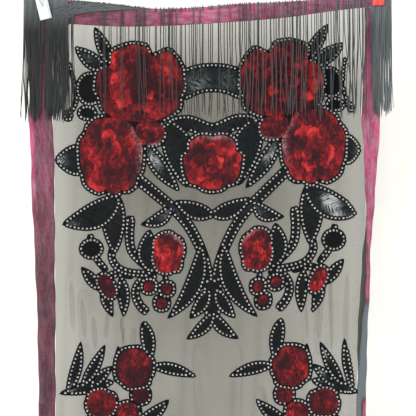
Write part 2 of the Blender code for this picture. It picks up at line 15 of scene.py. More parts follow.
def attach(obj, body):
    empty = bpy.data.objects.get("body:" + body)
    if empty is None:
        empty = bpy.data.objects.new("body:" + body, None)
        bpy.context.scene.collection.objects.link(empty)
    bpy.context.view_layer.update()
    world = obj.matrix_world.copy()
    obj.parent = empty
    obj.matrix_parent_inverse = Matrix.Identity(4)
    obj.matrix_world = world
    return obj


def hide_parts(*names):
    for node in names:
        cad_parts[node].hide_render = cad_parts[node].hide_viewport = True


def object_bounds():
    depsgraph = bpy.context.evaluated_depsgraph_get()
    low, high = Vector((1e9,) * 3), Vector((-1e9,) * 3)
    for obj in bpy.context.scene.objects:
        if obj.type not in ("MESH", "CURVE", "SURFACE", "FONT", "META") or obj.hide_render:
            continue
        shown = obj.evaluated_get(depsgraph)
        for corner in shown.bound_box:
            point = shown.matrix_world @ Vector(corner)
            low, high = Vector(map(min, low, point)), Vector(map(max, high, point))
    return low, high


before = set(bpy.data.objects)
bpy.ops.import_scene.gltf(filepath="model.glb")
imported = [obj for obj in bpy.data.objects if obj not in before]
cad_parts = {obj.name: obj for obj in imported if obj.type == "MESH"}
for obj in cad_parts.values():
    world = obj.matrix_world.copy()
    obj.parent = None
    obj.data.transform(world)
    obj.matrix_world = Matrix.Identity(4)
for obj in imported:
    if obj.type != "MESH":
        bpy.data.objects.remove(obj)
CAD_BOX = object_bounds()

MM = 0.001
HEM_DROP = 60.0
LENGTH = 1500.0
BORDER = 36.0
NET_END = LENGTH - BORDER
VELVET_WALL = 1.6
PATCH_WALL = 1.2
PATCH_LIFT = 0.9
PATCH_TOP = PATCH_LIFT + PATCH_WALL
FLOWER_LIFT = PATCH_TOP + 0.3

FOLD_PITCH = 170.0
FOLD_SLANT = 0.06
FOLD_DEPTH_TOP = 1.2
FOLD_DEPTH_END = 8.0
FOLD_START = 620.0
ROLL_RADIUS = 3.0
DOUBLED_RADIUS = 1.2
SEAM_GAP = 0.3
NET_START = 20.0

# Side edges, a row for each height: t, x of the left edge and how much of the left border lies in
# front, then x of the right edge, how much of the right border lies in front before it turns back
# behind the net, and how far it reaches inwards there before it doubles back.
EDGE_COLUMNS = ("t", "left", "left_front", "right", "right_front", "right_back")
EDGE_ROWS = (
    (0, -264, 34, 223, 4.5, 2),
    (38, -262, 33, 226.5, 8.5, 2),
    (67, -261, 33, 232, 15.5, 3),
    (116, -260, 33, 234.5, 20, 1),
    (166, -260, 33, 237.5, 26, 0.5),
    (209, -258, 33, 235, 20, 1),
    (280, -256, 32, 229.5, 12, 2),
    (351, -252, 28, 224, 5, 5),
    (420, -249, 26, 222, 5.5, 8),
    (493, -247, 24, 218.5, 9, 8),
    (560, -246, 23, 217.5, 13, 5),
    (1500, -246, 23, 219, 11, 8),
)
# Top hem, a row for each station: x, t of its upper edge, and the width that shows.
HEM_COLUMNS = ("x", "top", "width")
HEM_ROWS = (
    (-270, -5, 33),
    (-202, -4, 34),
    (-146, 1, 32),
    (-82, 8, 25),
    (-18, 6, 24),
    (25, 2, 25),
    (110, -2, 22),
    (181, -7, 17),
    (250, -11, 14),
)
HEM_RIGHT = 244.0

# The right half of the design hangs a little higher than the left, and its top is drawn inwards.
# Each is the most it moves, the height t where it does, and the spread of that height.
RIGHT_LIFT = (16.0, 260.0, 200.0)
RIGHT_DRAW = (10.0, 95.0, 60.0)
RIGHT_LIFT_X = 150.0
RIGHT_SQUEEZE_X = 190.0
RIGHT_SQUEEZE = 0.4

# Creases pressed into the net. Columns: x, first t, last t, half width, depth and sideways drift.
CREASES = (
    (-128, 440, 492, 2.2, 2.6, 5),
    (-150, 430, 480, 3.5, 1.6, -4),
    (-168, 440, 496, 4.0, 1.8, 4),
    (-184, 405, 486, 5.0, 2.2, 6),
    (-200, 385, 470, 4.0, 1.8, 3),
    (-112, 455, 505, 5.0, 1.4, -3),
    (152, 330, 500, 6.0, 3.0, -4),
    (168, 360, 505, 3.0, 2.2, 3),
    (190, 375, 505, 4.0, 1.8, -3),
    (133, 405, 490, 4.0, 1.4, 3),
    (74, 545, 578, 3.0, 1.8, 9),
    (-20, 470, 590, 9.0, 1.2, 10),
    (30, 485, 640, 10.0, 1.2, -8),
    (-160, 660, 900, 9.0, 2.2, 14),
    (60, 700, 1010, 12.0, 2.4, -16),
    (150, 640, 940, 8.0, 2.0, 10),
    (-60, 800, 1190, 13.0, 2.4, 18),
    (-190, 980, 1330, 8.0, 2.0, -8),
    (110, 1060, 1400, 10.0, 2.2, 12),
    (0, 1130, 1440, 9.0, 2.0, -10),
)

# Flowers of the left half. Columns: name, x, t, half width, half height, petals, turn in degrees.
LEFT_FLOWERS = (
    ("rose_upper", -103, 115, 62, 54, 8, 10),
    ("petal_upper", -89, 185, 20, 16, 3, 100),
    ("rose_middle", -144, 217, 44, 54, 7, 0),
    ("bud", -63, 355, 21, 28, 5, -15),
    ("side_bud", -150, 402, 9, 17, 3, -28),
    ("berry_a", -90, 402, 8, 8, 3, 0),
    ("berry_b", -65, 406, 8, 8, 3, 40),
    ("berry_c", -72, 426, 8, 8, 3, 80),
    ("rose_lower", -111, 518, 24, 26, 6, 15),
    ("petal_lower", -102, 557, 11, 10, 3, 60),
    ("rose_low_side", -158, 568, 20, 18, 5, 0),
    ("rose_low_inner", -120, 583, 15, 15, 5, 20),
)
CENTRE_FLOWER = ("rose_centre", 0, 226, 41, 38, 7, 12)
LOWER_NAMES = ("rose_lower", "petal_lower", "rose_low_side", "rose_low_inner")
BACKING_MARGIN = 8.0
SMALL_BACKING_MARGIN = 6.0
SMALL_FLOWER = 22.0
SQUARENESS = 2.4
FLOWER_GROW = 1.5
BERRY_GROW = -0.6
BERRY_TONE = 0.45
# Flowers that touch, with no stones between them.
MERGED = (("rose_upper", "petal_upper", "rose_middle"), ("petal_lower", "rose_low_inner"))
# Painted highlights on the satin. Columns: x, t, radius, strength. Those of the left half are on both sides.
GLINTS = (
    (-224, 226, 15, 1.0),
    (-200, 322, 15, 0.55),
    (-86, 226, 17, 1.0),
    (-20, 116, 22, 0.55),
    (-62, 304, 15, 0.6),
    (-204, 548, 10, 0.8),
    (-168, 44, 12, 0.5),
    (-176, 78, 12, 0.4),
    (-120, 300, 16, 0.25),
    (-10, 190, 20, 0.2),
    (168, 296, 13, 1.5),
    (176, 322, 12, 1.4),
    (184, 350, 10, 1.2),
    (157, 500, 9, 1.5),
    (150, 530, 9, 1.2),
)
# Notches between the petals along a flower's outline: direction in degrees (0 to the right, 90
# down), depth as a share of the radius, and half width in degrees.
NOTCHES = {
    "rose_upper": ((216, 0.24, 10), (291, 0.25, 8), (350, 0.05, 7), (20, 0.06, 8), (160, 0.05, 8)),
    "rose_middle": ((35, 0.08, 8), (100, 0.10, 7), (70, 0.06, 6), (150, 0.05, 8), (215, 0.06, 7),
                    (320, 0.06, 8)),
    "rose_centre": ((206, 0.15, 10), (334, 0.15, 10), (60, 0.07, 8), (120, 0.07, 8), (270, 0.05, 8)),
    "bud": ((190, 0.10, 12), (20, 0.09, 12), (70, 0.08, 10), (300, 0.08, 12)),
    "rose_lower": ((30, 0.07, 10), (320, 0.09, 10), (130, 0.06, 10)),
    "rose_low_side": ((200, 0.10, 12), (300, 0.10, 12)),
}
# Flowers drawn darker than the rest: share of the usual brightness, by node.
DIMMED = {
    "rose_lower_left": 0.35,
    "rose_low_side_left": 0.2,
    "rose_low_side_right": 0.5,
    "petal_lower_left": 0.3,
    "petal_lower_right": 0.7,
    "side_bud_left": 0.8,
    "rose_lower_right": 0.8,
}
# Direction of the painted pale sheen on a flower's rim, in degrees.
SHEEN_RIM_DIRECTIONS = {"rose_middle": -10, "petal_upper": 75, "bud": -55, "rose_centre": -85, "rose_low_inner": 60}

# Leaves of the upper spray, left half. Columns: base x, base t, tip x, tip t, width, and how far
# the rib bows aside.
UPPER_LEAVES = (
    (-142, 92, -168, 33, 21, 0),
    (-150, 98, -196, 62, 25, -1),
    (-167, 223, -225, 223, 46, 0),
    (-129, 274, -215, 315, 40, -9),
    (-142, 262, -139, 359, 36, 0),
    (-158, 409, -187, 374, 18, 0),
    (-150, 392, -141, 447, 19, 5),
    (-130, 386, -126, 447, 19, -2),
    (-86, 385, -89, 320, 30, -5),
    (-56, 286, -103, 315, 22, -8),
    (4, 302, -56, 281, 27, -3),
    (-16, 340, -66, 450, 27, -15),
    (-4, 404, -33, 449, 22, -3),
    (4, 436, -38, 478, 20, -5),
    (-64, 166, -36, 264, 46, -4),
    (-96, 196, -46, 268, 26, 4),
)
# Leaves of the lower spray, left side, with the same columns.
LOWER_LEAVES = (
    (-98, 450, -88, 512, 22, -2),
    (-207, 556, -187, 479, 18, 4),
    (-187, 547, -152, 484, 18, 2),
    (-174, 548, -140, 515, 17, -2),
    (-138, 540, -134, 486, 17, 3),
    (-138, 537, -219, 555, 20, 0),
    (-89, 515, -22, 531, 19, -3),
    (-108, 596, -61, 562, 20, 4),
    (-160, 576, -186, 630, 22, 3),
    (-122, 588, -112, 648, 22, -3),
)
# Stems, left half. Columns: width at the start, width at the end, the points they pass.
UPPER_STEMS = (
    (18, 15, ((-118, 240), (-74, 276), (-47, 300), (-28, 326), (-12, 362), (-4, 398))),
    (7, 9, ((-204, 84), (-197, 112), (-194, 140), (-205, 160))),
    (12, 12, ((-141, 346), (-143, 362), (-134, 376), (-116, 383), (-86, 385))),
    (15, 12, ((-116, 302), (-118, 329), (-115, 351), (-103, 366), (-87, 379))),
    (12, 14, ((-79, 386), (-96, 390), (-107, 402), (-109, 415), (-103, 429), (-92, 440))),
    (11, 11, ((-174, 328), (-171, 344), (-165, 362), (-150, 381))),
    (12, 12, ((-150, 388), (-132, 384), (-112, 388))),
    (9, 9, ((-88, 384), (-90, 402))),
    (9, 9, ((-68, 384), (-65, 406), (-72, 426))),
)
CENTRE_STEMS = (
    (42, 42, ((-54, 124), (-26, 110), (0, 106), (26, 110), (54, 124))),
    (24, 24, ((-64, 176), (-34, 171), (0, 182), (34, 171), (64, 176))),
    (34, 22, ((0, 376), (0, 410), (0, 456))),
)
# Round lobes of the upper spray, left half, and the slot in its trunk. Columns: x, t, half width,
# half height.
LOBES = (
    (-174, 122, 21, 25),
    (-172, 349, 18, 16),
    (-205, 160, 8, 9),
    (-178, 156, 15, 12),
)
SLOT = (0, 402, 2.5, 8)

STONE_RADIUS = 1.45
STONE_PITCH = 6.0
STONE_CLEAR = 4.7
STONE_INSET = 3.4
SCALLOP_RADIUS = 3.9
FILL_INSET = 5.2

STRAND_RADIUS = 0.62
# How a strand passes over the hem, from behind: aside, down from the hem's edge, and out in front.
OVER_HEM = ((0.4, 5.0, -1.6), (0.2, 1.0, -2.0), (0, -1.6, -0.4), (0, -1.0, 1.2), (0, 3.0, 2.3),
            (0, 16.0, 3.0))
# Front strands. Columns: x of the first and last root, strands, how far their free ends drift, how
# far out they hang, t of their free ends, and how much they sway.
FRONT_BUNCHES = (
    (-268, -244, 30, -1, 4.5, 165, 2.2),
    (-246, -230, 8, 0, 4.5, 150, 3.0),
    (-232, -205, 37, 0, 5.0, 164, 2.6),
    (-206, -196, 3, 4, 6.0, 140, 2.5),
    (-163, -150, 3, 3, 7.5, 158, 1.2),
    (-131, -126, 2, -1, 8.5, 160, 0.8),
    (-110, -95, 5, 3, 8.5, 164, 1.6),
    (-74, -50, 6, 1, 8.5, 166, 1.4),
    (-44, 30, 4, 1, 8.5, 158, 2.2),
    (36, 100, 18, 2, 8.5, 160, 2.8),
    (100, 190, 26, 2, 8.5, 160, 3.4),
    (190, 220, 13, -1, 8.0, 157, 2.8),
    (224, 232, 16, 5, 5.5, 153, 1.2),
    (231, 254, 44, 0, 5.5, 154, 1.6),
)
BACK_BUNCHES = (
    (-150, -118, 6, 2, 6.0, 160, 1.0),
    (-112, 40, 34, 0, 6.0, 163, 2.6),
    (44, 190, 10, 2, 6.0, 160, 1.2),
)
BOTTOM_STRANDS = 190
# Strands swept sideways along the hem before they fall: x where they start and fall, count.
SWEPT_START = (-196, -100)
SWEPT_FALL = (-236, -196)
SWEPT_COUNT = 46

PEG_WIDTH = 17.0
PEG_MIDDLE = -1.3
LEVER_HEIGHT = 75.0
LEVER_INNER = ((2.9, 0), (2.9, 18), (4.2, 30), (4.2, 46), (9.5, 75))
LEVER_OUTER = ((5.9, 0), (9, 20), (9.5, 46), (12.5, 75))
SPRING_RADIUS = 3.3
SPRING_WIRE = 0.55
SPRING_HEIGHT = 38.0
SPRING_TURNS = 7
SPRING_LENGTH = 11.0
NOTCH_LOW = 18.0
NOTCH_HIGH = 32.0
NOTCH_WIDTH = 8.0
NOTCH_DEPTH = 2.2
# Pegs. Columns: side, material, x and t of the tip's middle, and lean of the top to the left in degrees.
PEGS = (
    ("left", "pale_plastic", -235.7, 23.6, 13.0),
    ("right", "red_plastic", 235.3, 4.0, 0.5),
)

NET_COVER = 0.555
BLACK = (0.002, 0.0025, 0.003)

BACKDROP_GAP = 0.12
FLOOR_GAP = 0.06
STAGE_COLOURS = {"wall": (0.95, 0.945, 0.88), "floor": (0.80, 0.80, 0.79)}
WALL_GLOW = {"Emission_Color": (1.0, 0.985, 0.96, 1), "Emission_Strength": 0.245}
# Lights. Columns: name, place and size in metres, watts.
LIGHTS = (
    ("key", (-1.6, -2.3, 0.9), 1.6, 66),
    ("fill", (2.0, -2.1, -0.1), 1.8, 40),
)
LIGHT_TARGET = Vector((0, 0, -0.45))
SKY_STRENGTH = 0.45

# The photograph's frame: 416 px wide at 1.42 mm a pixel, with the design's centre line at 212.5 px
# and the hem's reference line at 3 px.
PHOTO_SIDE = 416
PIXEL = 1.42
PHOTO_CENTRE_X = 212.5
PHOTO_HEM_Y = 3.0
CAMERA_DISTANCE = 3.0

rng = np.random.default_rng(7)


EDGES = dict(zip(EDGE_COLUMNS, np.array(EDGE_ROWS, dtype=float).T))
HEM = dict(zip(HEM_COLUMNS, np.array(HEM_ROWS, dtype=float).T))
SIDES = {-1: "left", 1: "right"}


def soft_interp(x, xs, ys):
    """Value of a smooth curve through the table's points (Catmull-Rom)."""
    x = min(max(x, xs[0]), xs[-1])
    i = int(min(max(np.searchsorted(xs, x) - 1, 0), len(xs) - 2))
    slopes = np.gradient(ys, xs)
    span = xs[i + 1] - xs[i]
    u = (x - xs[i]) / span
    rise = (2 * u**3 - 3 * u**2 + 1) * ys[i] + (-2 * u**3 + 3 * u**2) * ys[i + 1]
    return rise + span * ((u**3 - 2 * u**2 + u) * slopes[i] + (u**3 - u**2) * slopes[i + 1])


def smooth_step(u):
    u = min(max(u, 0.0), 1.0)
    return u * u * (3 - 2 * u)


def bell(u):
    """1 at 0, falling softly on both sides."""
    return math.exp(-u * u)


def degrees_away(angle, direction):
    """Signed angle from a direction in degrees to an angle in radians."""
    return (math.degrees(angle) - direction + 180) % 360 - 180


def edge_value(name, t):
    return float(np.interp(t, EDGES["t"], EDGES[name]))


def edge_x(side, t):
    """Outer edge of a side border; side is -1 on the left and 1 on the right."""
    return edge_value(SIDES[side], t)


def seam_x(side, t):
    return edge_x(side, t) - side * edge_value(SIDES[side] + "_front", t)


def hem_top(x):
    return soft_interp(x, HEM["x"], HEM["top"])


def hem_low(x):
    return hem_top(x) + soft_interp(x, HEM["x"], HEM["width"])


def crease_and_shade(x, t):
    """Depth of the net's creases at a place, and how much darker they draw the net: denser where it slants,
    and painted shade.
    """
    total, dark = 0.0, 0.0
    for x0, t0, t1, half, amount, drift in CREASES:
        if not t0 < t < t1:
            continue
        u = (t - t0) / (t1 - t0)
        away = (x - x0 - drift * (u - 0.5)) / half
        if abs(away) > 4:
            continue
        strength = math.sin(math.pi * u) ** 0.7
        total += amount * strength * bell(away)
        dark += strength * amount / half * math.exp(-1.5 * away * away)
    return total, dark


def depth(x, t):
    """How far the hanging cloth lies behind its plane: soft folds, deeper towards the end."""
    low = smooth_step((t - FOLD_START) / (LENGTH - FOLD_START))
    amount = FOLD_DEPTH_TOP + (FOLD_DEPTH_END - FOLD_DEPTH_TOP) * low
    return amount * math.sin(math.tau * (x + FOLD_SLANT * t) / FOLD_PITCH)


def to_world(x, behind, t):
    return Vector((x, behind, -HEM_DROP - t)) * MM


def cloth_normal(x, t):
    """Unit vector out of the cloth's front."""
    step = 1.0
    slope_x = (depth(x + step, t) - depth(x - step, t)) / (2 * step)
    slope_t = (depth(x, t + step) - depth(x, t - step)) / (2 * step)
    return Vector((slope_x, -1.0, -slope_t)).normalized()


def cloth_point(x, t, out=0.0):
    """World place of a point out in front of the cloth, along the cloth's normal."""
    place = Vector((x, depth(x, t), -HEM_DROP - t)) + cloth_normal(x, t) * out
    return place * MM


def hang(x, t):
    """Where a design point lies on the hung cloth: the right half is drawn up and in a little."""
    if x <= 0:
        return (x, t)
    share = smooth_step(x / RIGHT_LIFT_X)
    rise, draw = (amount * bell((t - middle) / spread) for amount, middle, spread in (RIGHT_LIFT, RIGHT_DRAW))
    squeeze = RIGHT_SQUEEZE * max(0.0, x - RIGHT_SQUEEZE_X)
    return (x - draw * share - squeeze, t - rise * share)


class Graph:
    """A material's nodes, added and linked by short calls."""

    def __init__(self, name, **values):
        self.material = bpy.data.materials.new(name)
        self.material.use_nodes = True
        self.tree = self.material.node_tree
        self.shader = self.tree.nodes["Principled BSDF"]
        for socket, value in values.items():
            self.shader.inputs[socket.replace("_", " ")].default_value = value

    def add(self, kind, values=(), links=(), **settings):
        node = self.tree.nodes.new(kind)
        for name, value in settings.items():
            setattr(node, name, value)
        for socket, value in dict(values).items():
            node.inputs[socket].default_value = value
        for socket, source in dict(links).items():
            self.tree.links.new(source, node.inputs[socket])
        return node

    def drive(self, socket, source):
        self.tree.links.new(source, self.shader.inputs[socket])

    def texture(self, kind, stretch=(1.0, 1.0, 1.0), source="Object", output="Fac", settings=(), **values):
        """A texture over millimetres, stretched along each axis. The UV map is in millimetres already."""
        unit = 1.0 if source == "UV" else 1000.0
        place = self.add("ShaderNodeTexCoord").outputs[source]
        scale = tuple(unit * value for value in stretch)
        mapped = self.add("ShaderNodeMapping", {"Scale": scale}, {"Vector": place}).outputs["Vector"]
        return self.add("ShaderNodeTex" + kind, values, {"Vector": mapped}, **dict(settings)).outputs[output]

    def noise(self, scale, detail=3.0, roughness=0.5, stretch=(1.0, 1.0, 1.0), **more):
        return self.texture("Noise", stretch, Scale=scale, Detail=detail, Roughness=roughness, **more)

    def attribute(self, name):
        return self.add("ShaderNodeAttribute", attribute_name=name).outputs["Fac"]

    def math(self, operation, *values, clamp=False):
        node = self.add("ShaderNodeMath", operation=operation, use_clamp=clamp)
        for socket, value in zip(node.inputs, values):
            if isinstance(value, (int, float)):
                socket.default_value = value
            else:
                self.tree.links.new(value, socket)
        return node.outputs[0]

    def total(self, start, *terms, clamp=False):
        """The start plus each (source, middle, weight): how far the source is above its middle, weighted."""
        result = start - sum(middle * weight for _, middle, weight in terms)
        for i, (source, _, weight) in enumerate(terms):
            result = self.math("MULTIPLY_ADD", source, weight, result, clamp=clamp and i == len(terms) - 1)
        return result

    def ramp(self, source, stops):
        """Colours at places from 0 to 1, as (place, colour) pairs."""
        node = self.add("ShaderNodeValToRGB", links={"Fac": source})
        marks = node.color_ramp.elements
        while len(marks) < len(stops):
            marks.new(0.5)
        for mark, (place, colour) in zip(marks, stops):
            mark.position = place
            mark.color = (*colour, 1.0)
        return node.outputs["Color"]

    def paint(self, source, stops):
        self.drive("Base Color", self.ramp(source, stops))

    def blend(self, share, colour, other):
        """The first colour turned into a plain second one by a share from 0 to 1."""
        links = {0: share, 6: colour}
        return self.add("ShaderNodeMix", {7: (*other, 1)}, links, data_type="RGBA").outputs[2]

    def bump(self, height, strength, distance_mm):
        values = {"Strength": strength, "Distance": distance_mm * MM}
        self.drive("Normal", self.add("ShaderNodeBump", values, {"Height": height}).outputs["Normal"])


def net_material():
    """Dark fine net: mostly holes, drawn denser in its creases as slanted net and painted shade."""
    graph = Graph("net", Base_Color=(0.070, 0.064, 0.040, 1), Roughness=0.9, Specular_IOR_Level=0.1)
    cells = graph.texture("Voronoi", output="Distance", settings={"feature": "DISTANCE_TO_EDGE"},
                          Scale=0.8, Randomness=0.35)
    cloudy = graph.noise(1.0, 2.0, stretch=(0.02, 0.02, 0.006))
    # The crease attribute adds painted shade in the creases and across the middle, and painted light near the
    # top.
    graph.drive("Alpha", graph.total(NET_COVER, (cells, 0.2, -0.45), (cloudy, 0.5, 0.15),
                                     (graph.attribute("crease_and_shade"), 0.0, 0.24), clamp=True))
    return graph.material


def burgundy_material(name, grain):
    """Crushed velvet: wine ground, with a painted pink sheen and haze where the pile turns, slate where its
    back shows.
    """
    graph = Graph(name, Roughness=0.75, Specular_IOR_Level=0.15, Sheen_Weight=0.22, Sheen_Roughness=0.35,
                  Sheen_Tint=(1.0, 0.50, 0.66, 1))
    speckle = graph.noise(0.75, 4.0, 0.75)
    crush = graph.noise(0.07, 3.0, 0.6, (1.0, 1.0, 0.3))
    sheen_and_back = graph.attribute("sheen_and_back")
    # Painted sheen: the attribute's positive part pinks the velvet; its negative part is the real slate back.
    painted_pile_sheen = graph.math("MAXIMUM", sheen_and_back, 0.0)
    tone = graph.total(0.0, (speckle, 0.5, 1.3), (crush, 0.22, 0.9), (painted_pile_sheen, 0.0, 0.55))
    colour = graph.ramp(tone, ((0.0, (0.040, 0.020, 0.028)), (0.25, (0.095, 0.036, 0.050)),
                               (0.55, (0.210, 0.045, 0.085)), (0.95, (0.560, 0.075, 0.200))))
    # Painted sheen: a pale grey-pink haze along the crushed streaks, strongest where the pile turns.
    streaks = graph.total(0.0, (graph.noise(0.22, 6.0, 0.75, grain), 0.43, 4.5), clamp=True)
    sheen_haze = graph.math("MULTIPLY", streaks, graph.total(0.12, (painted_pile_sheen, 0.0, 0.42)))
    sheen_hazed = graph.blend(sheen_haze, colour, (0.42, 0.36, 0.39))
    bare = graph.math("MULTIPLY", sheen_and_back, -1.0, clamp=True)
    graph.drive("Base Color", graph.blend(bare, sheen_hazed, (0.125, 0.150, 0.165)))
    graph.bump(speckle, 0.5, 0.5)
    return graph.material


def reverse_material():
    """The velvet's woven back."""
    graph = Graph("velvet_reverse", Roughness=0.85, Specular_IOR_Level=0.15)
    weave = graph.texture("Wave", Scale=0.55, Distortion=0.6)
    graph.paint(weave, ((0.0, (0.115, 0.135, 0.150)), (1.0, (0.210, 0.235, 0.250))))
    graph.bump(weave, 0.3, 0.2)
    return graph.material


def rose_material():
    """Crushed red velvet, mottled at random, with painted highlight at the petals' rims and painted shade,
    maroon, in their folds.
    """
    graph = Graph("red_velvet", Roughness=0.65, Specular_IOR_Level=0.15, Sheen_Weight=0.12,
                  Sheen_Roughness=0.3, Sheen_Tint=(1.0, 0.60, 0.60, 1))
    crumple = graph.noise(0.14, 6.0, 0.75, (1.0, 1.0, 0.62), Distortion=0.6)
    pile = graph.noise(0.8, 3.0, 0.7)
    tone = graph.total(0.17, (graph.attribute("petal"), 0.0, 0.56), (crumple, 0.5, 1.7), (pile, 0.5, 0.9),
                       (graph.noise(0.025, 2.0), 0.5, 1.0))
    colour = graph.ramp(tone, ((0.05, (0.022, 0.004, 0.007)), (0.32, (0.070, 0.006, 0.009)),
                               (0.58, (0.290, 0.010, 0.013)), (0.88, (0.620, 0.040, 0.038))))
    # Painted sheen: speckled pale pink on the rims of some flowers.
    patchy = graph.total(0.0, (crumple, 1.13, 5.0), (pile, 0.0, 7.0), clamp=True)
    painted_rim_sheen = graph.math("MULTIPLY", graph.attribute("rim_sheen"), patchy, clamp=True)
    graph.drive("Base Color", graph.blend(painted_rim_sheen, colour, (0.42, 0.20, 0.22)))
    graph.bump(graph.math("ADD", pile, crumple), 0.6, 0.9)
    return graph.material


def satin_material():
    """Black satin stitch with fine feathered strokes and a few grey glints."""
    graph = Graph("black_satin", Specular_IOR_Level=0.12, Roughness=0.5)
    fine = graph.noise(1.0, 3.0, 0.6, (0.85, 0.10, 1.0), source="UV")
    strokes = graph.total(0.5, (fine, 0.5, 2.2), clamp=True)
    patchy = graph.total(0.4, (graph.noise(0.06, 2.0), 0.0, 1.0))
    shine = graph.math("MULTIPLY_ADD", graph.attribute("glint"), patchy, 0.345)
    graph.paint(graph.math("MULTIPLY", strokes, shine),
                ((0.12, (0.0012, 0.0018, 0.0020)), (0.30, (0.010, 0.014, 0.016)),
                 (0.48, (0.060, 0.070, 0.072)), (0.80, (0.420, 0.440, 0.440))))
    graph.bump(strokes, 0.5, 0.3)
    return graph.material


def plain_material(name, noise, dark, light, bump=None, **values):
    """A surface of nearly one colour; dark and light are its (place, colour) ends over the noise."""
    graph = Graph(name, **values)
    grain = graph.noise(*noise)
    graph.paint(grain, (dark, light))
    if bump:
        graph.bump(grain, *bump)
    return graph.material


def cord_material():
    """Soft charcoal fringe cord with a slight twist, paler where it catches the light."""
    graph = Graph("fringe_cord", Roughness=0.65, Specular_IOR_Level=0.25, Sheen_Weight=0.06,
                  Sheen_Roughness=0.4)
    twist = graph.texture("Wave", (1.0, 1.0, 0.8), settings={"bands_direction": "DIAGONAL"},
                          Scale=0.45, Distortion=1.0)
    tone = graph.total(0.0, (twist, 0.0, 0.4), (graph.noise(1.0, stretch=(0.5, 0.5, 0.02)), 0.0, 0.6))
    colour = graph.ramp(tone, ((0.2, (0.008, 0.009, 0.009)), (0.8, (0.050, 0.054, 0.053))))
    graph.drive("Base Color", graph.blend(graph.attribute("painted_highlight"), colour, (0.200, 0.225, 0.238)))
    graph.bump(twist, 0.5, 0.3)
    return graph.material


def plastic_material(name, dark, light):
    """Moulded plastic with a faint flow mark and fine grain."""
    graph = Graph(name, Roughness=0.34, Subsurface_Weight=0.08, Subsurface_Radius=(0.002, 0.002, 0.002),
                  Coat_Weight=0.15)
    colour = graph.ramp(graph.noise(0.12, 2.0, stretch=(1.0, 1.0, 0.3)), ((0.3, dark), (0.7, light)))
    # Painted shade: darker where the lever's attribute says.
    graph.drive("Base Color", graph.blend(graph.attribute("painted_shade"), colour, tuple(0.55 * c for c in dark)))
    graph.bump(graph.noise(2.2, 2.0), 0.15, 0.1)
    return graph.material


def steel_material():
    graph = Graph("spring_steel", Metallic=1.0)
    brushed = graph.noise(1.5, 2.0, stretch=(0.3, 1.0, 1.0))
    graph.paint(brushed, ((0.3, (0.45, 0.45, 0.46)), (0.7, (0.66, 0.66, 0.67))))
    graph.drive("Roughness", graph.total(0.22, (brushed, 0.0, 0.2)))
    return graph.material


def stage_material(name, colour, **glow):
    """Plain pale surface. One that glows, as a bright room does, shows only from the front."""
    graph = Graph(name, Roughness=0.9, **glow)
    graph.paint(graph.noise(0.05, 2.0), ((0.3, tuple(0.97 * c for c in colour)), (0.7, colour)))
    if glow:
        clear = graph.add("ShaderNodeBsdfTransparent").outputs[0]
        behind = graph.add("ShaderNodeNewGeometry").outputs["Backfacing"]
        mix = graph.add("ShaderNodeMixShader", links={0: behind, 1: graph.shader.outputs[0], 2: clear})
        graph.tree.links.new(mix.outputs[0], graph.tree.nodes["Material Output"].inputs["Surface"])
    return graph.material


def add_piece(name, bm, materials, replaced=(), smooth=True):
    """Turns a bmesh into a piece that rides on the cloth's body."""
    mesh = bpy.data.meshes.new(name)
    bm.to_mesh(mesh)
    bm.free()
    if smooth:
        mesh.shade_smooth()
    for item in materials:
        mesh.materials.append(item)
    piece = bpy.data.objects.new(name, mesh)
    bpy.context.scene.collection.objects.link(piece)
    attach(piece, "root")
    if replaced:
        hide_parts(*replaced)
    return piece


def grid_sheet(columns, rows, place, mark=None):
    """A grid whose vertices are placed by place(u, v); mark(u, v) fills the attribute it is named for."""
    bm = bmesh.new()
    layer = bm.verts.layers.float.new(mark[0]) if mark else None
    bmesh.ops.create_grid(bm, x_segments=columns, y_segments=rows, size=1.0)
    for vertex in bm.verts:
        u = (vertex.co.x + 1) / 2
        v = (1 - vertex.co.y) / 2
        vertex.co = place(u, v)
        if mark:
            vertex[layer] = mark[1](u, v)
    bm.normal_update()
    bm.faces.ensure_lookup_table()
    first = bm.faces[0] if abs(bm.faces[0].normal.y) > 0.5 else bm.faces[len(bm.faces) // 2]
    if first.normal.y > 0:
        bmesh.ops.reverse_faces(bm, faces=bm.faces)
    return bm


def add_wall(piece, thickness, offset, reverse_slot=0):
    solid = piece.modifiers.new("wall", "SOLIDIFY")
    solid.thickness = thickness * MM
    solid.offset = offset
    solid.material_offset = reverse_slot


def face_front(bm):
    bm.normal_update()
    for face in bm.faces:
        if face.normal.y > 0:
            face.normal_flip()


def bridge(bm, rings):
    """Skins rings of vertices in order; a ring of one vertex closes the skin in a point."""
    for ring, after in zip(rings, rings[1:]):
        for i in range(len(ring)):
            j = (i + 1) % len(ring)
            far = (after[j], after[i]) if len(after) > 1 else (after[0],)
            bm.faces.new((ring[i], ring[j], *far))


def make_net(material):
    def where(u, v):
        t = NET_START + (NET_END - NET_START) * v
        left, right = seam_x(-1, t) + SEAM_GAP, seam_x(1, t) - SEAM_GAP
        x = left + (right - left) * u
        top = hem_low(x)
        return x, top + (NET_END - top) * v

    def place(u, v):
        x, t = where(u, v)
        return to_world(x, depth(x, t) + crease_and_shade(x, t)[0], t)

    def mark(u, v):
        x, t = where(u, v)
        # Painted shade: the net is drawn denser across the middle of the design, and as painted light thinner
        # near the top.
        middle = smooth_step((200 - abs(x)) / 70) * smooth_step((430 - t) / 160) * smooth_step((t - 100) / 60)
        return min(1.0, crease_and_shade(x, t)[1]) - 0.40 * smooth_step((120 - t) / 70) + 0.2 * middle

    bm = grid_sheet(150, 300, place, ("crease_and_shade", mark))
    return add_piece("net_sheet", bm, [material], ["net_panel"])


def ripple(t, seed):
    """A few tenths of a millimetre of unevenness along a sewn edge."""
    return 0.45 * math.sin(t / 17 + seed) + 0.3 * math.sin(t / 7.3 + 2 * seed)


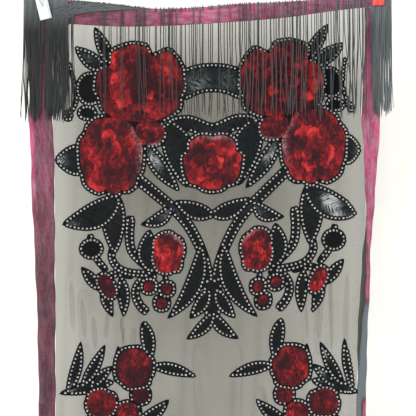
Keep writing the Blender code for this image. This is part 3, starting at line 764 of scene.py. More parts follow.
def border_section(side, t):
    """Front width, the turn's length and how far the strip reaches back inwards at a height."""
    flat = max(edge_value(SIDES[side] + "_front", t) - ROLL_RADIUS, 0.2)
    turn = math.pi * ROLL_RADIUS
    rest = max(BORDER - flat - turn, 0.0)
    back = edge_value("right_back", t) if side > 0 else rest
    return flat, turn, min(back, rest)


def rolled_border(side):
    """Places a side border's strip: flat in front, rolled round its edge, then doubled behind."""
    start = hem_low(edge_x(side, 0)) + SEAM_GAP
    last = math.pi * DOUBLED_RADIUS

    def place(u, v):
        t = start + (NET_END - start) * v
        flat, turn, back = border_section(side, t)
        bend = edge_x(side, t) - side * ROLL_RADIUS + ripple(t, 2.0 + side)
        along = min(BORDER, flat + turn + 2 * back + last) * u
        rest = along - flat - turn
        if along <= flat:
            inward, out = flat - along, 0.35 * math.sin(math.pi * along / flat) if flat > 5 else 0.0
        elif rest <= 0:
            angle = (along - flat) / ROLL_RADIUS
            inward, out = -ROLL_RADIUS * math.sin(angle), -ROLL_RADIUS * (1 - math.cos(angle))
        elif rest <= back:
            inward, out = rest, -2 * ROLL_RADIUS
        elif rest <= back + last:
            angle = (rest - back) / DOUBLED_RADIUS
            inward = back + DOUBLED_RADIUS * math.sin(angle)
            out = -2 * ROLL_RADIUS - DOUBLED_RADIUS * (1 - math.cos(angle))
        else:
            inward, out = 2 * back + last - rest, -2 * (ROLL_RADIUS + DOUBLED_RADIUS)
        return cloth_point(bend - side * inward, t, out)
    return place


def rolled_tone(side):
    """How much painted pink sheen a side strip has: most at its turned edge and at the top. Below 0 its slate
    back shows.
    """
    def mark(u, v):
        t = NET_START + (NET_END - NET_START) * v
        near = smooth_step((BORDER * u - border_section(side, t)[0] + 5) / 6)
        drawn = smooth_step((420 - t) / 260)
        if side < 0:
            return 0.30 * drawn + near * (0.10 + 0.75 * drawn)
        bare = smooth_step((t - 426) / 18) * (1 - smooth_step((t - 564) / 14) * near)
        bare *= 1 - smooth_step((t - 600) / 60)
        return (0.40 + 0.36 * drawn + 0.24 * near) * (1 - bare) - bare
    return mark


def make_borders(velvet, across, reverse):
    """The four velvet bands, as thick cloth with its woven back."""
    def place_top(u, v):
        x = edge_x(-1, 0) + (HEM_RIGHT - edge_x(-1, 0)) * u
        t = hem_top(x) + (hem_low(x) - hem_top(x)) * v
        pucker = 0.35 * math.sin(x / 5.1 + 1.3 * math.sin(x / 31))
        return cloth_point(x, t, (0.3 + pucker) * math.sin(math.pi * v))

    def place_bottom(u, v):
        x = edge_x(-1, LENGTH) + (edge_x(1, LENGTH) - edge_x(-1, LENGTH)) * u
        return cloth_point(x, NET_END + SEAM_GAP + (BORDER - SEAM_GAP) * v, 0.3 * math.sin(math.pi * v))

    def hem_tone(u, v):
        # Painted sheen: the top band is pinker right of its first quarter and towards its upper edge.
        return 0.35 + 0.6 * smooth_step((u - 0.25) / 0.2) * (1 - 0.5 * v)

    made = []
    for name, pile, columns, rows, place, tone in (
        ("left", velvet, 44, 260, rolled_border(-1), rolled_tone(-1)),
        ("right", velvet, 44, 260, rolled_border(1), rolled_tone(1)),
        ("top", across, 220, 10, place_top, hem_tone),
        # Painted sheen on the bottom band: pinker towards its lower edge.
        ("bottom", across, 180, 8, place_bottom, lambda u, v: 0.4 * v),
    ):
        bm = grid_sheet(columns, rows, place, ("sheen_and_back", tone))
        piece = add_piece("velvet_" + name, bm, [pile, reverse], ["border_" + name])
        add_wall(piece, VELVET_WALL, 0.0, 1)
        made.append(piece)
    return made


def turns_left(loop):
    return sum(a[0] * b[1] - b[0] * a[1] for a, b in zip(loop, loop[1:] + loop[:1])) > 0


def mirrored(loop):
    return [(-x, t) for x, t in reversed(loop)]


def leaf_half(u, width):
    return width / 2 * math.sin(math.pi * u**0.85) ** 0.75


def leaf_rib(leaf, u):
    """Place and across direction on a leaf's bowed rib."""
    base_x, base_t, tip_x, tip_t, _, bow = leaf
    along = Vector((tip_x - base_x, tip_t - base_t))
    across = Vector((-along.y, along.x)).normalized()
    return Vector((base_x, base_t)) + along * u + across * (bow * 4 * u * (1 - u)), across


def leaf_loop(leaf, steps=16):
    sides = ([], [])
    for i in range(1, steps):
        rib, across = leaf_rib(leaf, i / steps)
        half = leaf_half(i / steps, leaf[4])
        sides[0].append(tuple(rib + across * half))
        sides[1].append(tuple(rib - across * half))
    ends = [tuple(leaf_rib(leaf, u)[0]) for u in (0.02, 0.985)]
    return ends[:1] + sides[0] + ends[1:] + sides[1][::-1]


def stem_points(route, steps):
    places = np.array(route, dtype=float)
    marks = np.arange(len(route), dtype=float)
    found = []
    for i in range((len(route) - 1) * steps + 1):
        mark = i / steps
        found.append(Vector((soft_interp(mark, marks, places[:, 0]), soft_interp(mark, marks, places[:, 1]))))
    return found


def stem_frames(stem, steps):
    """Place, across direction and half width along a stem."""
    start_width, end_width, route = stem
    points = stem_points(route, steps)
    frames = []
    for i, place in enumerate(points):
        along = (points[min(i + 1, len(points) - 1)] - points[max(i - 1, 0)]).normalized()
        u = i / (len(points) - 1)
        half = (start_width * (1 - u) + end_width * u) / 2
        frames.append((place, Vector((-along.y, along.x)), half))
    return frames


def stem_loop(stem):
    frames = stem_frames(stem, 6)
    sides = ([], [])
    for i, (place, across, half) in enumerate(frames):
        end = min(i, len(frames) - 1 - i)
        half *= (0.6, 0.9)[end] if end < 2 else 1.0
        sides[0].append(tuple(place + across * half))
        sides[1].append(tuple(place - across * half))
    return sides[0] + sides[1][::-1]


def rotated(x, t, across, down, degrees):
    """The place across and down from x, t in a direction turned clockwise."""
    cosine, sine = math.cos(math.radians(degrees)), math.sin(math.radians(degrees))
    return (x + across * cosine - down * sine, t + across * sine + down * cosine)


def oval_loop(x, t, half_width, half_height, points=40):
    angles = [math.tau * i / points for i in range(points)]
    return [(x + half_width * math.cos(a), t + half_height * math.sin(a)) for a in angles]


def outline_factor(name, petals, a):
    """Radius of a flower's outline, as a share of its plain radius."""
    n = SQUARENESS
    factor = (abs(math.cos(a)) ** n + abs(math.sin(a)) ** n) ** (-1 / n)
    for direction, cut, half in NOTCHES.get(name, ()):
        factor -= cut * bell(degrees_away(a, direction) / half)
    return factor * (1 - 0.03 * abs(math.sin(petals * a / 2 + 0.7)))


def flower_place(flower, p, q, margin=0.0):
    """Design place of a point in the flower's unit disc, pushed out by the margin."""
    _, x, t, rx, rt, _, turn = flower
    return rotated(x, t, (rx + margin) * p, (rt + margin) * q, turn if rx < rt * 0.7 else 0.0)


def backing_loop(flower):
    name, _, _, rx, _, petals, _ = flower
    margin, points = (BACKING_MARGIN, 72) if rx > SMALL_FLOWER else (SMALL_BACKING_MARGIN, 40)
    loop = []
    for i in range(points):
        a = math.tau * i / points
        factor = outline_factor(name, petals, a)
        loop.append(flower_place(flower, factor * math.cos(a), factor * math.sin(a), margin))
    return loop


def fused_patch(name, loops, holes, node, material):
    """One flat applique from overlapping outlines, laid on the cloth."""
    points, faces = [], []
    for loop in loops + holes:
        first = len(points)
        points.extend(Vector(hang(x, t)) for x, t in (loop if turns_left(loop) else loop[::-1]))
        faces.append(list(range(first, len(points))))
    tolerance = 0.01
    places, _, triangles, _, _, sources = delaunay_2d_cdt(points, [], faces, 0, tolerance, True)
    bm = bmesh.new()
    vertices = [bm.verts.new((place.x, place.y, 0)) for place in places]
    for triangle, inside in zip(triangles, sources):
        if inside and max(inside) < len(loops):
            bm.faces.new([vertices[i] for i in triangle])
    bmesh.ops.delete(bm, geom=[v for v in bm.verts if not v.link_faces], context="VERTS")
    bmesh.ops.dissolve_limit(bm, angle_limit=math.radians(1.0), verts=bm.verts, edges=bm.edges)
    for i in range(-19, 20):
        bmesh.ops.bisect_plane(bm, geom=bm.verts[:] + bm.edges[:] + bm.faces[:], dist=tolerance,
                               plane_co=(12.0 * i, 0, 0), plane_no=(1, 0, 0))
    for vertex in bm.verts:
        vertex.co = cloth_point(vertex.co.x, vertex.co.y, PATCH_LIFT)
    face_front(bm)
    add_wall(add_piece(name, bm, [material], [node], smooth=False), PATCH_WALL, 1.0)


def inside(loop, x, t):
    """Whether the place lies inside the loop (crossing count)."""
    a = loop
    b = np.roll(loop, -1, axis=0)
    spans = (a[:, 1] > t) != (b[:, 1] > t)
    rise = np.where(b[:, 1] == a[:, 1], 1.0, b[:, 1] - a[:, 1])
    cross = a[:, 0] + (t - a[:, 1]) * (b[:, 0] - a[:, 0]) / rise
    return bool(np.count_nonzero(spans & (x < cross)) % 2)


def nearest(loop, x, t):
    """Distance from the place to the loop's outline."""
    a = loop
    ab = np.roll(loop, -1, axis=0) - a
    ap = np.array((x, t)) - a
    u = np.clip((ap * ab).sum(axis=1) / np.maximum((ab * ab).sum(axis=1), 1e-9), 0, 1)
    return float(np.sqrt((((ap - ab * u[:, None]) ** 2).sum(axis=1)).min()))


def stone_places(loops, groups=()):
    """Places of the rhinestones: along each outline, just inside it, hidden where a piece covers it.

    An outline covers those after it in the list, and every other one of its own group.
    """
    arrays = [np.array(loop if turns_left(loop) else loop[::-1], dtype=float) for loop in loops]
    boxes = [(loop.min(axis=0), loop.max(axis=0)) for loop in arrays]
    taken = {}
    found = []

    def cell(x, t):
        return int(x // STONE_CLEAR), int(t // STONE_CLEAR)

    def free(x, t):
        column, row = cell(x, t)
        near = [taken.get((column + i, row + j), ()) for i in (-1, 0, 1) for j in (-1, 0, 1)]
        return all((px - x) ** 2 + (pt - t) ** 2 >= STONE_CLEAR**2 for places in near for px, pt in places)

    for rank, loop in enumerate(arrays):
        partners = [i for group in groups if rank in group for i in group if i > rank]
        covers = [(arrays[i], *boxes[i]) for i in (*range(rank), *partners)]
        spans = np.sqrt(((np.roll(loop, -1, axis=0) - loop) ** 2).sum(axis=1))
        length = spans.sum()
        count = max(6, round(length / STONE_PITCH)) * 3
        marks = np.concatenate(([0.0], np.cumsum(spans)))
        closed = np.vstack((loop, loop[:1]))
        since = STONE_PITCH
        for i in range(count):
            s = length * i / count
            since += length / count
            if since < STONE_PITCH * 0.98:
                continue
            k = min(int(np.searchsorted(marks, s, side="right")) - 1, len(loop) - 1)
            u = (s - marks[k]) / max(spans[k], 1e-9)
            way = (closed[k + 1] - closed[k]) / max(spans[k], 1e-9)
            x, t = closed[k] * (1 - u) + closed[k + 1] * u + np.array((-way[1], way[0])) * STONE_INSET
            if nearest(loop, x, t) < STONE_INSET * 0.8 or not inside(loop, x, t) or not free(x, t):
                continue
            if any(low[0] < x < high[0] and low[1] < t < high[1] and inside(other, x, t)
                   for other, low, high in covers):
                continue
            taken.setdefault(cell(x, t), []).append((x, t))
            found.append((float(x), float(t)))
            since = 0.0
    return found


def add_disc(bm, centre, axes, sides, rings):
    """A stack of rings with a lid: (radius, height, shift along the sides) rows, in millimetres."""
    right, up, normal = axes
    loops = []
    for radius, height, shift in rings:
        angles = [math.tau * (i + shift) / sides for i in range(sides)]
        arms = [right * (radius * math.cos(a)) + up * (radius * math.sin(a)) for a in angles]
        loops.append([bm.verts.new(centre + (arm + normal * height) * MM) for arm in arms])
    bridge(bm, loops)
    bm.faces.new(loops[-1])


def make_edging(places, thread, stone):
    """Scalloped thread pads with a faceted stone on each, joined to two pieces."""
    pads, stones = bmesh.new(), bmesh.new()
    r = SCALLOP_RADIUS
    pad = ((r, -PATCH_WALL * 0.8, 0), (r, 0.25, 0), (r * 0.72, 0.55, 0), (r * 0.4, 0.6, 0))
    for place in places:
        x, t = hang(*place)
        normal = cloth_normal(x, t)
        right = (Vector((1, 0, 0)).cross(normal).cross(normal) * -1).normalized()
        axes = (right, normal.cross(right), normal)
        centre = cloth_point(x, t, PATCH_TOP)
        add_disc(pads, centre, axes, 10, pad)
        s = STONE_RADIUS * (0.94 + 0.12 * rng.random())
        spin = rng.random()
        add_disc(stones, centre, axes, 8, ((s, 0.45, spin), (s, 0.85, spin), (s * 0.55, 1.55, spin + 0.5)))
    for bm in (pads, stones):
        bmesh.ops.recalc_face_normals(bm, faces=bm.faces)
    add_piece("edging_scallops", pads, [thread])
    add_piece("rhinestones", stones, [stone], smooth=False)


def glint(x, t):
    """How strong the painted highlight on the satin is at a design place."""
    total = 0.0
    for gx, gt, radius, strength in GLINTS:
        across = x - gx if gx > 0 else abs(x) + gx
        away = (across**2 + (t - gt) ** 2) / radius**2
        if away < 6:
            total += strength * (0.8 if x > 0 > gx else 1.0) * math.exp(-away)
    return total


def add_fill(bm, uv_layer, frames, rise, sides=1):
    """Padded satin between two edges: frames are (place, across, half width) along a rib."""
    across_steps = 6
    shine = bm.verts.layers.float["glint"]
    rows = []
    travelled = 300 * rng.random()
    for i, (place, across, half) in enumerate(frames):
        row = []
        travelled += (place - frames[max(i - 1, 0)][0]).length
        for j in range(across_steps + 1):
            v = j / across_steps * 2 - 1
            x, t = place + across * (half * v)
            lift = PATCH_TOP + 0.05 + rise * (1 - v * v) - 0.25 * bell(v / 0.12) * (half > 5)
            vertex = bm.verts.new(cloth_point(*hang(sides * x, t), lift))
            vertex[shine] = glint(sides * x, t)
            row.append((vertex, (travelled - 0.9 * abs(v) * half, v * half)))
        rows.append(row)
    for row, after in zip(rows, rows[1:]):
        for j in range(across_steps):
            corners = (row[j], row[j + 1], after[j + 1], after[j])
            face = bm.faces.new([corner[0] for corner in corners])
            for loop, corner in zip(face.loops, corners):
                loop[uv_layer].uv = corner[1]


def leaf_fill_frames(leaf, steps=18):
    shares = [0.06 + 0.86 * i / steps for i in range(steps + 1)]
    return [(*leaf_rib(leaf, u), max(0.3, leaf_half(u, leaf[4]) - FILL_INSET)) for u in shares]


def make_fills(name, leaves, stems, centre_stems, material):
    bm = bmesh.new()
    uv_layer = bm.loops.layers.uv.new("along")
    bm.verts.layers.float.new("glint")
    for side in (1, -1):
        for leaf in leaves:
            add_fill(bm, uv_layer, leaf_fill_frames(leaf), 0.7, side)
        for stem in stems:
            frames = [(p, a, h - FILL_INSET) for p, a, h in stem_frames(stem, 8) if h > FILL_INSET + 0.6]
            if len(frames) > 2:
                add_fill(bm, uv_layer, frames[1:-1], 0.5, side)
    for stem in centre_stems:
        frames = [(p, a, h - FILL_INSET) for p, a, h in stem_frames(stem, 10)]
        add_fill(bm, uv_layer, frames[1:-1], 0.6)
    face_front(bm)
    add_piece(name, bm, [material])


def petal_layout(petals, seed):
    """Rings of overlapping petals, innermost first: centre x, y, radius, ring number, turn."""
    pick = np.random.default_rng(seed)
    rings = ((0.0, 0.17, 1), (0.20, 0.22, 3), (0.42, 0.31, max(4, petals - 2)), (0.72, 0.42, petals))
    layout = []
    for number, (distance, radius, count) in enumerate(rings):
        turn = pick.random() * math.tau
        for i in range(count):
            a = turn + math.tau * (i + 0.45 * (pick.random() - 0.5)) / count
            far = distance * (0.85 + 0.3 * pick.random())
            size = radius * (0.8 + 0.45 * pick.random())
            layout.append((far * math.cos(a), far * math.sin(a), size, number, pick.random()))
    return layout


def petal_field(layout, p, q):
    """Height and brightness, from 0 to 1, of the flower at a place in its unit disc; the brightness is
    painted highlight at each petal's rim and painted shade where it folds, varied at random by petal.
    """
    away = math.hypot(p, q)
    p += 0.05 * math.sin(9 * q + 1) + 0.02 * math.sin(23 * q)
    q += 0.05 * math.sin(8 * p + 2) + 0.02 * math.sin(21 * p)
    for x, y, radius, ring, own in layout:
        near = math.hypot(p - x, q - y) / radius
        if near < 1:
            reach = math.hypot(x, y)
            rim = min(max((away - (reach - radius * 0.5)) / (radius * 1.5), 0.0), 1.0)
            if ring == 0:
                rim = near * 0.8
            fold = smooth_step((1 - near) / 0.16)
            # Painted highlight towards each petal's rim, painted shade where it folds under the next.
            bright = (0.08 + 0.92 * rim**1.5) * (0.15 + 0.85 * fold) * (0.35 + 0.9 * own)
            return (3 - ring) * 0.20 + 0.30 * (1 - near * near), min(bright, 1.0)
    return 0.05, 0.1


def make_flower(flower, side, velvet):
    """A velvet flower: a lobed disc with overlapping petals pressed into it."""
    name, _, _, rx, _, petals, _ = flower
    node = name if flower is CENTRE_FLOWER else f"{name}_{'left' if side == 1 else 'right'}"
    seed = sum(ord(letter) for letter in name) + (0 if side == 1 else 50)
    layout = petal_layout(petals if rx > SMALL_FLOWER * 0.8 else 4, seed)
    around, rings = (160, 44) if rx > SMALL_FLOWER else (56, 16)
    relief = 2.6 if rx > 30 else 2.0 if rx > 18 else 1.2
    grow, usual = (BERRY_GROW, BERRY_TONE) if name.startswith("berry") else (FLOWER_GROW, 1.0)
    bm = bmesh.new()
    tone = bm.verts.layers.float.new("petal")
    rim_sheen = bm.verts.layers.float.new("rim_sheen")
    loops = []
    for r in range(rings + 1):
        u = 1 - r / rings
        lift = smooth_step((1 - u) / 0.06)
        loop = []
        for i in range(around if u else 1):
            a = math.tau * i / around
            factor = outline_factor(name, petals, a)
            p, q = u * factor * math.cos(a), u * factor * math.sin(a)
            height, bright = petal_field(layout, p, q)
            x, t = flower_place(flower, p, q, grow)
            out = FLOWER_LIFT + (0.5 + relief * height) * lift
            vertex = bm.verts.new(cloth_point(*hang(side * x, t), out))
            # Painted highlight and shade of the petals, dimmed on some flowers.
            vertex[tone] = bright * DIMMED.get(node, usual)
            if name in SHEEN_RIM_DIRECTIONS:
                vertex[rim_sheen] = smooth_step((u - 0.76) / 0.22) * bell(degrees_away(a, SHEEN_RIM_DIRECTIONS[name]) / 32)
            loop.append(vertex)
        loops.append(loop)
    bridge(bm, loops)
    face_front(bm)
    add_piece("velvet_" + node, bm, [velvet], [node])


def make_appliques(materials):
    upper = [row for row in LEFT_FLOWERS if row[0] not in LOWER_NAMES]
    lower = [row for row in LEFT_FLOWERS if row[0] in LOWER_NAMES]
    left = [backing_loop(row) for row in upper]
    left += [oval_loop(*row) for row in LOBES]
    left += [leaf_loop(row) for row in UPPER_LEAVES]
    left += [stem_loop(row) for row in UPPER_STEMS]
    right = [mirrored(loop) for loop in left]
    centre = [backing_loop(CENTRE_FLOWER)] + [stem_loop(row) for row in CENTRE_STEMS]
    low_left = [backing_loop(row) for row in lower] + [leaf_loop(row) for row in LOWER_LEAVES]
    low_right = [mirrored(loop) for loop in low_left]
    slot = oval_loop(*SLOT, points=16)
    for end, loops, holes in (("upper", left + right + centre, [slot]), ("lower_left", low_left, []),
                              ("lower_right", low_right, [])):
        fused_patch("applique_" + end, loops, holes, "spray_" + end, materials["ground"])
    order = centre[:1] + [loop for pair in zip(left, right) for loop in pair] + centre[1:]
    names = [row[0] for row in upper]
    touching = [names.index(name) for name in MERGED[0]]
    places = stone_places(order, ([1 + 2 * i for i in touching], [2 + 2 * i for i in touching]))
    names = [row[0] for row in lower]
    groups = ([names.index(name) for name in MERGED[1]],)
    places += stone_places(low_left, groups) + stone_places(low_right, groups)
    make_edging(places, materials["thread"], materials["stone"])
    make_fills("satin_upper", UPPER_LEAVES, UPPER_STEMS, CENTRE_STEMS, materials["satin"])
    make_fills("satin_lower", LOWER_LEAVES, (), (), materials["satin"])
    make_flower(CENTRE_FLOWER, 1, materials["rose"])
    for row in LEFT_FLOWERS:
        make_flower(row, 1, materials["rose"])
        make_flower(row, -1, materials["rose"])


def add_tube(bm, points, radius, sides=6, painted_highlight=None):
    """A round cord through the points, closed at both ends. A given function of the point fills the painted
    highlight attribute.
    """
    rings = []
    last = len(points) - 1
    layer = bm.verts.layers.float.get("painted_highlight") if painted_highlight else None
    for i, place in enumerate(points):
        along = (points[min(i + 1, last)] - points[max(i - 1, 0)]).normalized()
        side = along.cross(Vector((0, 1, 0)))
        if side.length < 0.1:
            side = along.cross(Vector((1, 0, 0)))
        side.normalize()
        up = along.cross(side)
        reach = radius * (0.55 if i in (0, last) else 1.0)
        angles = [math.tau * k / sides for k in range(sides)]
        rings.append([bm.verts.new(place + (side * math.cos(a) + up * math.sin(a)) * reach) for a in angles])
        if layer:
            for vertex in rings[-1]:
                vertex[layer] = painted_highlight(place)
    bridge(bm, rings)
    bm.faces.new(rings[0][::-1])
    bm.faces.new(rings[-1])


def hung_path(places, facing=1):
    """World path of (x, t, out) places; facing 1 is in front of the cloth and -1 behind it."""
    return [to_world(x, depth(x, t) - facing * out, t) for x, t, out in places]


def sway(wave, u):
    """How far a strand swings sideways, a share u down from where it hangs free."""
    return (wave[0] * math.sin(wave[1] + 2.6 * u) + wave[2] * math.sin(wave[3] + 7 * u)) * u


def strand_path(x, drift, out, end_t, facing, wave):
    """A strand looped over the hem's edge and hanging down its face."""
    top = hem_top(x)
    places = [(x + aside, top + down, lift) for aside, down, lift in OVER_HEM]
    places.append((x, top + 30.0, min(out, 4.4)))
    first = top + 46.0
    for i in range(10):
        u = i / 9
        lift = out + 0.4 * math.sin(wave[1] + 4 * u)
        places.append((x + drift * u**1.4 + sway(wave, u), first + (end_t - first) * u, lift))
    return hung_path(places, facing)


def pick_wave(amount):
    return (amount * rng.normal(), rng.random() * 6, 0.35 * amount * rng.normal(), rng.random() * 6)


def cord_tone(place):
    """How much painted highlight a strand has: most along the hem and in the bunch on the right."""
    x, t = place.x / MM, -place.z / MM - HEM_DROP
    high = 0.62 * smooth_step((44 - t) / 58)
    bunch = 0.40 * smooth_step((x - 222) / 8)
    bunch += 0.35 * smooth_step((x - 238) / 14) * smooth_step((t - 40) / 90)
    middle = 0.05 * smooth_step((x + 190) / 40) + 0.09 * smooth_step(x / 40)
    uneven = 1 + 0.35 * math.sin(x * 2.3) + 0.2 * math.sin(x * 0.7 + t / 23)
    return min(1.0, max(0.0, max(high, bunch, middle) * uneven))


def strand_radius(thinnest=0.85):
    return STRAND_RADIUS * MM * (thinnest + 0.3 * rng.random())


def swept_path(u):
    """A strand that starts a share u along the hem, is swept left along it, then falls."""
    start = SWEPT_START[0] + (SWEPT_START[1] - SWEPT_START[0]) * u
    fall = SWEPT_FALL[0] + (SWEPT_FALL[1] - SWEPT_FALL[0]) * rng.random()
    top = hem_top(start)
    low = top + 4 + 30 * rng.random() * (1.15 - u)
    places = [(start + 1, top - 1.0, 0.8), (start - 3, top + 2.0, 2.6)]
    for k in range(1, 6):
        v = k / 6
        places.append((start - 3 + (fall + 9 - start) * v, top + 2 + (low - top) * v**1.3,
                       3.2 + 0.8 * math.sin(3 * v) + 0.8 * rng.random()))
    places += [(fall + 2, low + 5, 4.0), (fall, low + 16, 4.6)]
    end_t = 160 + 5 * rng.normal()
    wave = pick_wave(2.0)
    for k in range(1, 8):
        v = k / 7
        x = fall + wave[0] * v * math.sin(wave[1] + 3 * v)
        places.append((x, low + 16 + (end_t - low - 16) * v, 5.2))
    return hung_path(places)


def make_fringe(cord):
    front, back = bmesh.new(), bmesh.new()
    for bm, bunches, facing in ((front, FRONT_BUNCHES, 1), (back, BACK_BUNCHES, -1)):
        bm.verts.layers.float.new("painted_highlight")
        for from_x, to_x, count, drift, out, end_t, swing in bunches:
            for i in range(count):
                x = from_x + (to_x - from_x) * (i + 0.5 + 0.9 * (rng.random() - 0.5)) / count
                path = strand_path(x, drift + rng.normal() * 1.2 * swing, out + rng.random() * 1.6,
                                   end_t + rng.normal() * 4.0, facing, pick_wave(swing))
                add_tube(bm, path, strand_radius(), painted_highlight=cord_tone)
    for i in range(SWEPT_COUNT):
        path = swept_path((i + rng.random()) / SWEPT_COUNT)
        add_tube(front, path, strand_radius(0.8), painted_highlight=cord_tone)
    add_piece("fringe_front", front, [cord], ["fringe_top_front"])
    add_piece("fringe_back", back, [cord], ["fringe_top_back"])


def make_end_fringe(cord):
    """The fringe of the lower end, which hangs straight down from the hem."""
    bm = bmesh.new()
    start, end = edge_x(-1, LENGTH), edge_x(1, LENGTH)
    for i in range(BOTTOM_STRANDS):
        x = start + 1.5 + (end - start - 3) * (i + 0.5 + 0.4 * (rng.random() - 0.5)) / BOTTOM_STRANDS
        wave = pick_wave(1.6)
        places = [(x, LENGTH - 4, 1.7), (x, LENGTH - 1, 1.6), (x, LENGTH + 1.2, 0.2)]
        fall = 163 + min(2.5, rng.normal() * 2.5)
        places += [(x + sway(wave, k / 9), LENGTH + 1.2 + fall * k / 9, 0.0) for k in range(1, 10)]
        settle = depth(x, LENGTH)
        path = [to_world(px, settle * (1 - 0.4 * max(0, t - LENGTH) / 165) - out, t) for px, t, out in places]
        add_tube(bm, path, strand_radius())
    add_piece("fringe_end", bm, [cord], ["fringe_bottom"])


def profile_at(rows, height):
    return float(np.interp(height, [row[1] for row in rows], [row[0] for row in rows]))


def lever_mesh(sign):
    """One lever of a peg, standing on its tip: rounded sides, a V pressed in its face, ridges on its grip."""
    steps, columns = 60, 22
    bm = bmesh.new()
    painted_shade = bm.verts.layers.float.new("painted_shade")
    rings = []
    for i in range(steps + 1):
        z = LEVER_HEIGHT * i / steps
        inner, outer = profile_at(LEVER_INNER, z), profile_at(LEVER_OUTER, z)
        ridge = 0.55 * max(0.0, math.sin(math.tau * (z - 50) / 3.8)) if 50 < z < 72 else 0.0
        half_notch = NOTCH_WIDTH / 2 * (z - NOTCH_LOW) / (NOTCH_HIGH - NOTCH_LOW)
        end = 0.8 * max(0.0, 1 - min(z, LEVER_HEIGHT - z) / 1.2) ** 2
        front, back = [], []
        for j in range(columns + 1):
            share = 2 * j / columns - 1
            x = PEG_WIDTH / 2 * share
            rounded = abs(share) ** 10 + end
            within = half_notch - abs(x)
            pressed = NOTCH_DEPTH * smooth_step(within / 0.6) if NOTCH_LOW < z < NOTCH_HIGH else 0.0
            line = bell(within / 0.9) if NOTCH_LOW - 1 < z < NOTCH_HIGH else 0.0
            grip = ridge if abs(share) < 0.86 else 0.0
            front.append(bm.verts.new(Vector((x, sign * (outer + grip - rounded - pressed), z)) * MM))
            # Painted shade on the walls of the V and down the right flank.
            front[-1][painted_shade] = max(line, 0.45 * smooth_step((share - 0.35) / 0.4))
            back.append(bm.verts.new(Vector((x, sign * (inner + 0.5 * rounded), z)) * MM))
        rings.append(front + back[::-1])
    bridge(bm, rings)
    for ring in (rings[0], rings[-1]):
        for j in range(columns):
            bm.faces.new((ring[j], ring[j + 1], ring[-2 - j], ring[-1 - j]))
    bmesh.ops.recalc_face_normals(bm, faces=bm.faces)
    return bm


def make_stitches(thread):
    """Short dark stitches where the side borders are sewn to the net."""
    bm = bmesh.new()
    for side in (-1, 1):
        t = 44.0
        while t < NET_END - 6:
            x = seam_x(side, t) + side * 1.1 + 0.25 * rng.normal()
            path = [cloth_point(x, t + down, out) for down, out in ((0.0, 0.85), (1.0, 1.15), (2.1, 0.85))]
            add_tube(bm, path, 0.28 * MM, 5)
            t += 4.4 + 0.3 * rng.random()
    add_piece("seam_stitches", bm, [thread])


def make_pegs(materials):
    for side, plastic, x, t, lean in PEGS:
        middle = depth(x, t) + PEG_MIDDLE
        placing = Matrix.Translation(to_world(x, middle, t)) @ Matrix.Rotation(-math.radians(lean), 4, "Y")
        for facing, sign in (("front", -1), ("back", 1)):
            bm = lever_mesh(sign)
            bm.transform(placing)
            add_piece(f"clip_{side}_{facing}", bm, [materials[plastic]], [f"peg_{side}_{facing}"])
        bm = bmesh.new()
        steps = SPRING_TURNS * 16
        path = []
        for i in range(steps + 1):
            a = math.tau * i / 16
            along = (i / steps - 0.5) * SPRING_LENGTH
            height = SPRING_HEIGHT + SPRING_RADIUS * math.sin(a)
            path.append(Vector((along, SPRING_RADIUS * math.cos(a), height)) * MM)
        add_tube(bm, path, SPRING_WIRE * MM)
        bm.transform(placing)
        add_piece(f"coil_{side}", bm, [materials["steel"]], [f"peg_{side}_spring"])


def make_stage(low, high):
    """White wall close behind the scarf and a pale floor under it."""
    for name, size, place, tilt, glow in (
        ("wall", 6, (0, high.y + BACKDROP_GAP, low.z + 3 - FLOOR_GAP), math.pi / 2, WALL_GLOW),
        ("floor", 12, (0, 0, low.z - FLOOR_GAP), 0.0, {}),
    ):
        bpy.ops.mesh.primitive_plane_add(size=size, location=place)
        plane = bpy.context.object
        plane.name = name
        plane.rotation_euler = (tilt, 0, 0)
        plane.data.materials.append(stage_material(name, STAGE_COLOURS[name], **glow))


def make_light():
    for name, place, size, energy in LIGHTS:
        light = bpy.data.lights.new(name, "AREA")
        light.energy = energy
        light.size = size
        item = bpy.data.objects.new(name, light)
        item.location = place
        item.rotation_euler = (LIGHT_TARGET - Vector(place)).to_track_quat("-Z", "Y").to_euler()
        bpy.context.scene.collection.objects.link(item)
    world = bpy.data.worlds.new("studio")
    world.use_nodes = True
    sky = world.node_tree.nodes["Background"]
    sky.inputs["Color"].default_value = (1.0, 1.0, 1.0, 1)
    sky.inputs["Strength"].default_value = SKY_STRENGTH
    bpy.context.scene.world = world
    bpy.context.scene.view_settings.view_transform = "Standard"


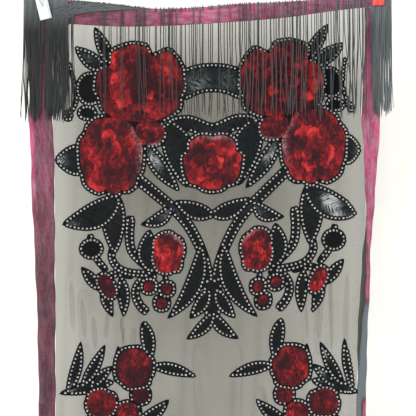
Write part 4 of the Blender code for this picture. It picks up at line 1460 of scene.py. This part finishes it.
def make_camera():
    """Level and square to the scarf, framed as the photograph."""
    scene = bpy.context.scene
    camera = bpy.data.cameras.new("camera")
    camera.sensor_width = 36.0
    camera.lens = 36.0 * CAMERA_DISTANCE / (PHOTO_SIDE * PIXEL * MM)
    item = bpy.data.objects.new("camera", camera)
    middle = PHOTO_SIDE / 2
    item.location = ((middle - PHOTO_CENTRE_X) * PIXEL * MM, -CAMERA_DISTANCE,
                     (-HEM_DROP - (middle - PHOTO_HEM_Y) * PIXEL) * MM)
    item.rotation_euler = (math.pi / 2, 0, 0)
    scene.collection.objects.link(item)
    scene.camera = item


def main():
    materials = {
        "net": net_material(),
        "velvet": burgundy_material("burgundy_velvet", (1.0, 1.0, 0.22)),
        "velvet_across": burgundy_material("burgundy_velvet_across", (0.22, 1.0, 1.0)),
        "reverse": reverse_material(),
        "rose": rose_material(),
        "satin": satin_material(),
        "ground": plain_material("black_ground", (1.1, 3.0, 0.6), (0.3, BLACK), (0.8, (0.010, 0.012, 0.013)),
                                 (0.5, 0.3), Roughness=0.85, Specular_IOR_Level=0.08),
        "thread": plain_material("edging_thread", (1.6, 2.0), (0.3, BLACK), (0.8, (0.012, 0.013, 0.014)),
                                 (0.8, 0.4), Roughness=0.6, Specular_IOR_Level=0.1),
        "stone": plain_material("rhinestone", (0.30, 2.0), (0.30, (0.42, 0.43, 0.42)),
                                (0.62, (0.95, 0.94, 0.88)), Metallic=0.85, Roughness=0.22, Coat_Weight=0.5,
                                Coat_Roughness=0.05),
        "cord": cord_material(),
        "pale_plastic": plastic_material("pale_plastic", (0.68, 0.78, 0.73), (0.84, 0.90, 0.87)),
        "red_plastic": plastic_material("red_plastic", (0.66, 0.050, 0.048), (0.86, 0.120, 0.110)),
        "steel": steel_material(),
    }
    net = make_net(materials["net"])
    borders = make_borders(materials["velvet"], materials["velvet_across"], materials["reverse"])
    make_appliques(materials)
    make_fringe(materials["cord"])
    make_end_fringe(materials["cord"])
    make_stitches(materials["thread"])
    make_pegs(materials)
    make_stage(*CAD_BOX)
    make_light()
    make_camera()


main()
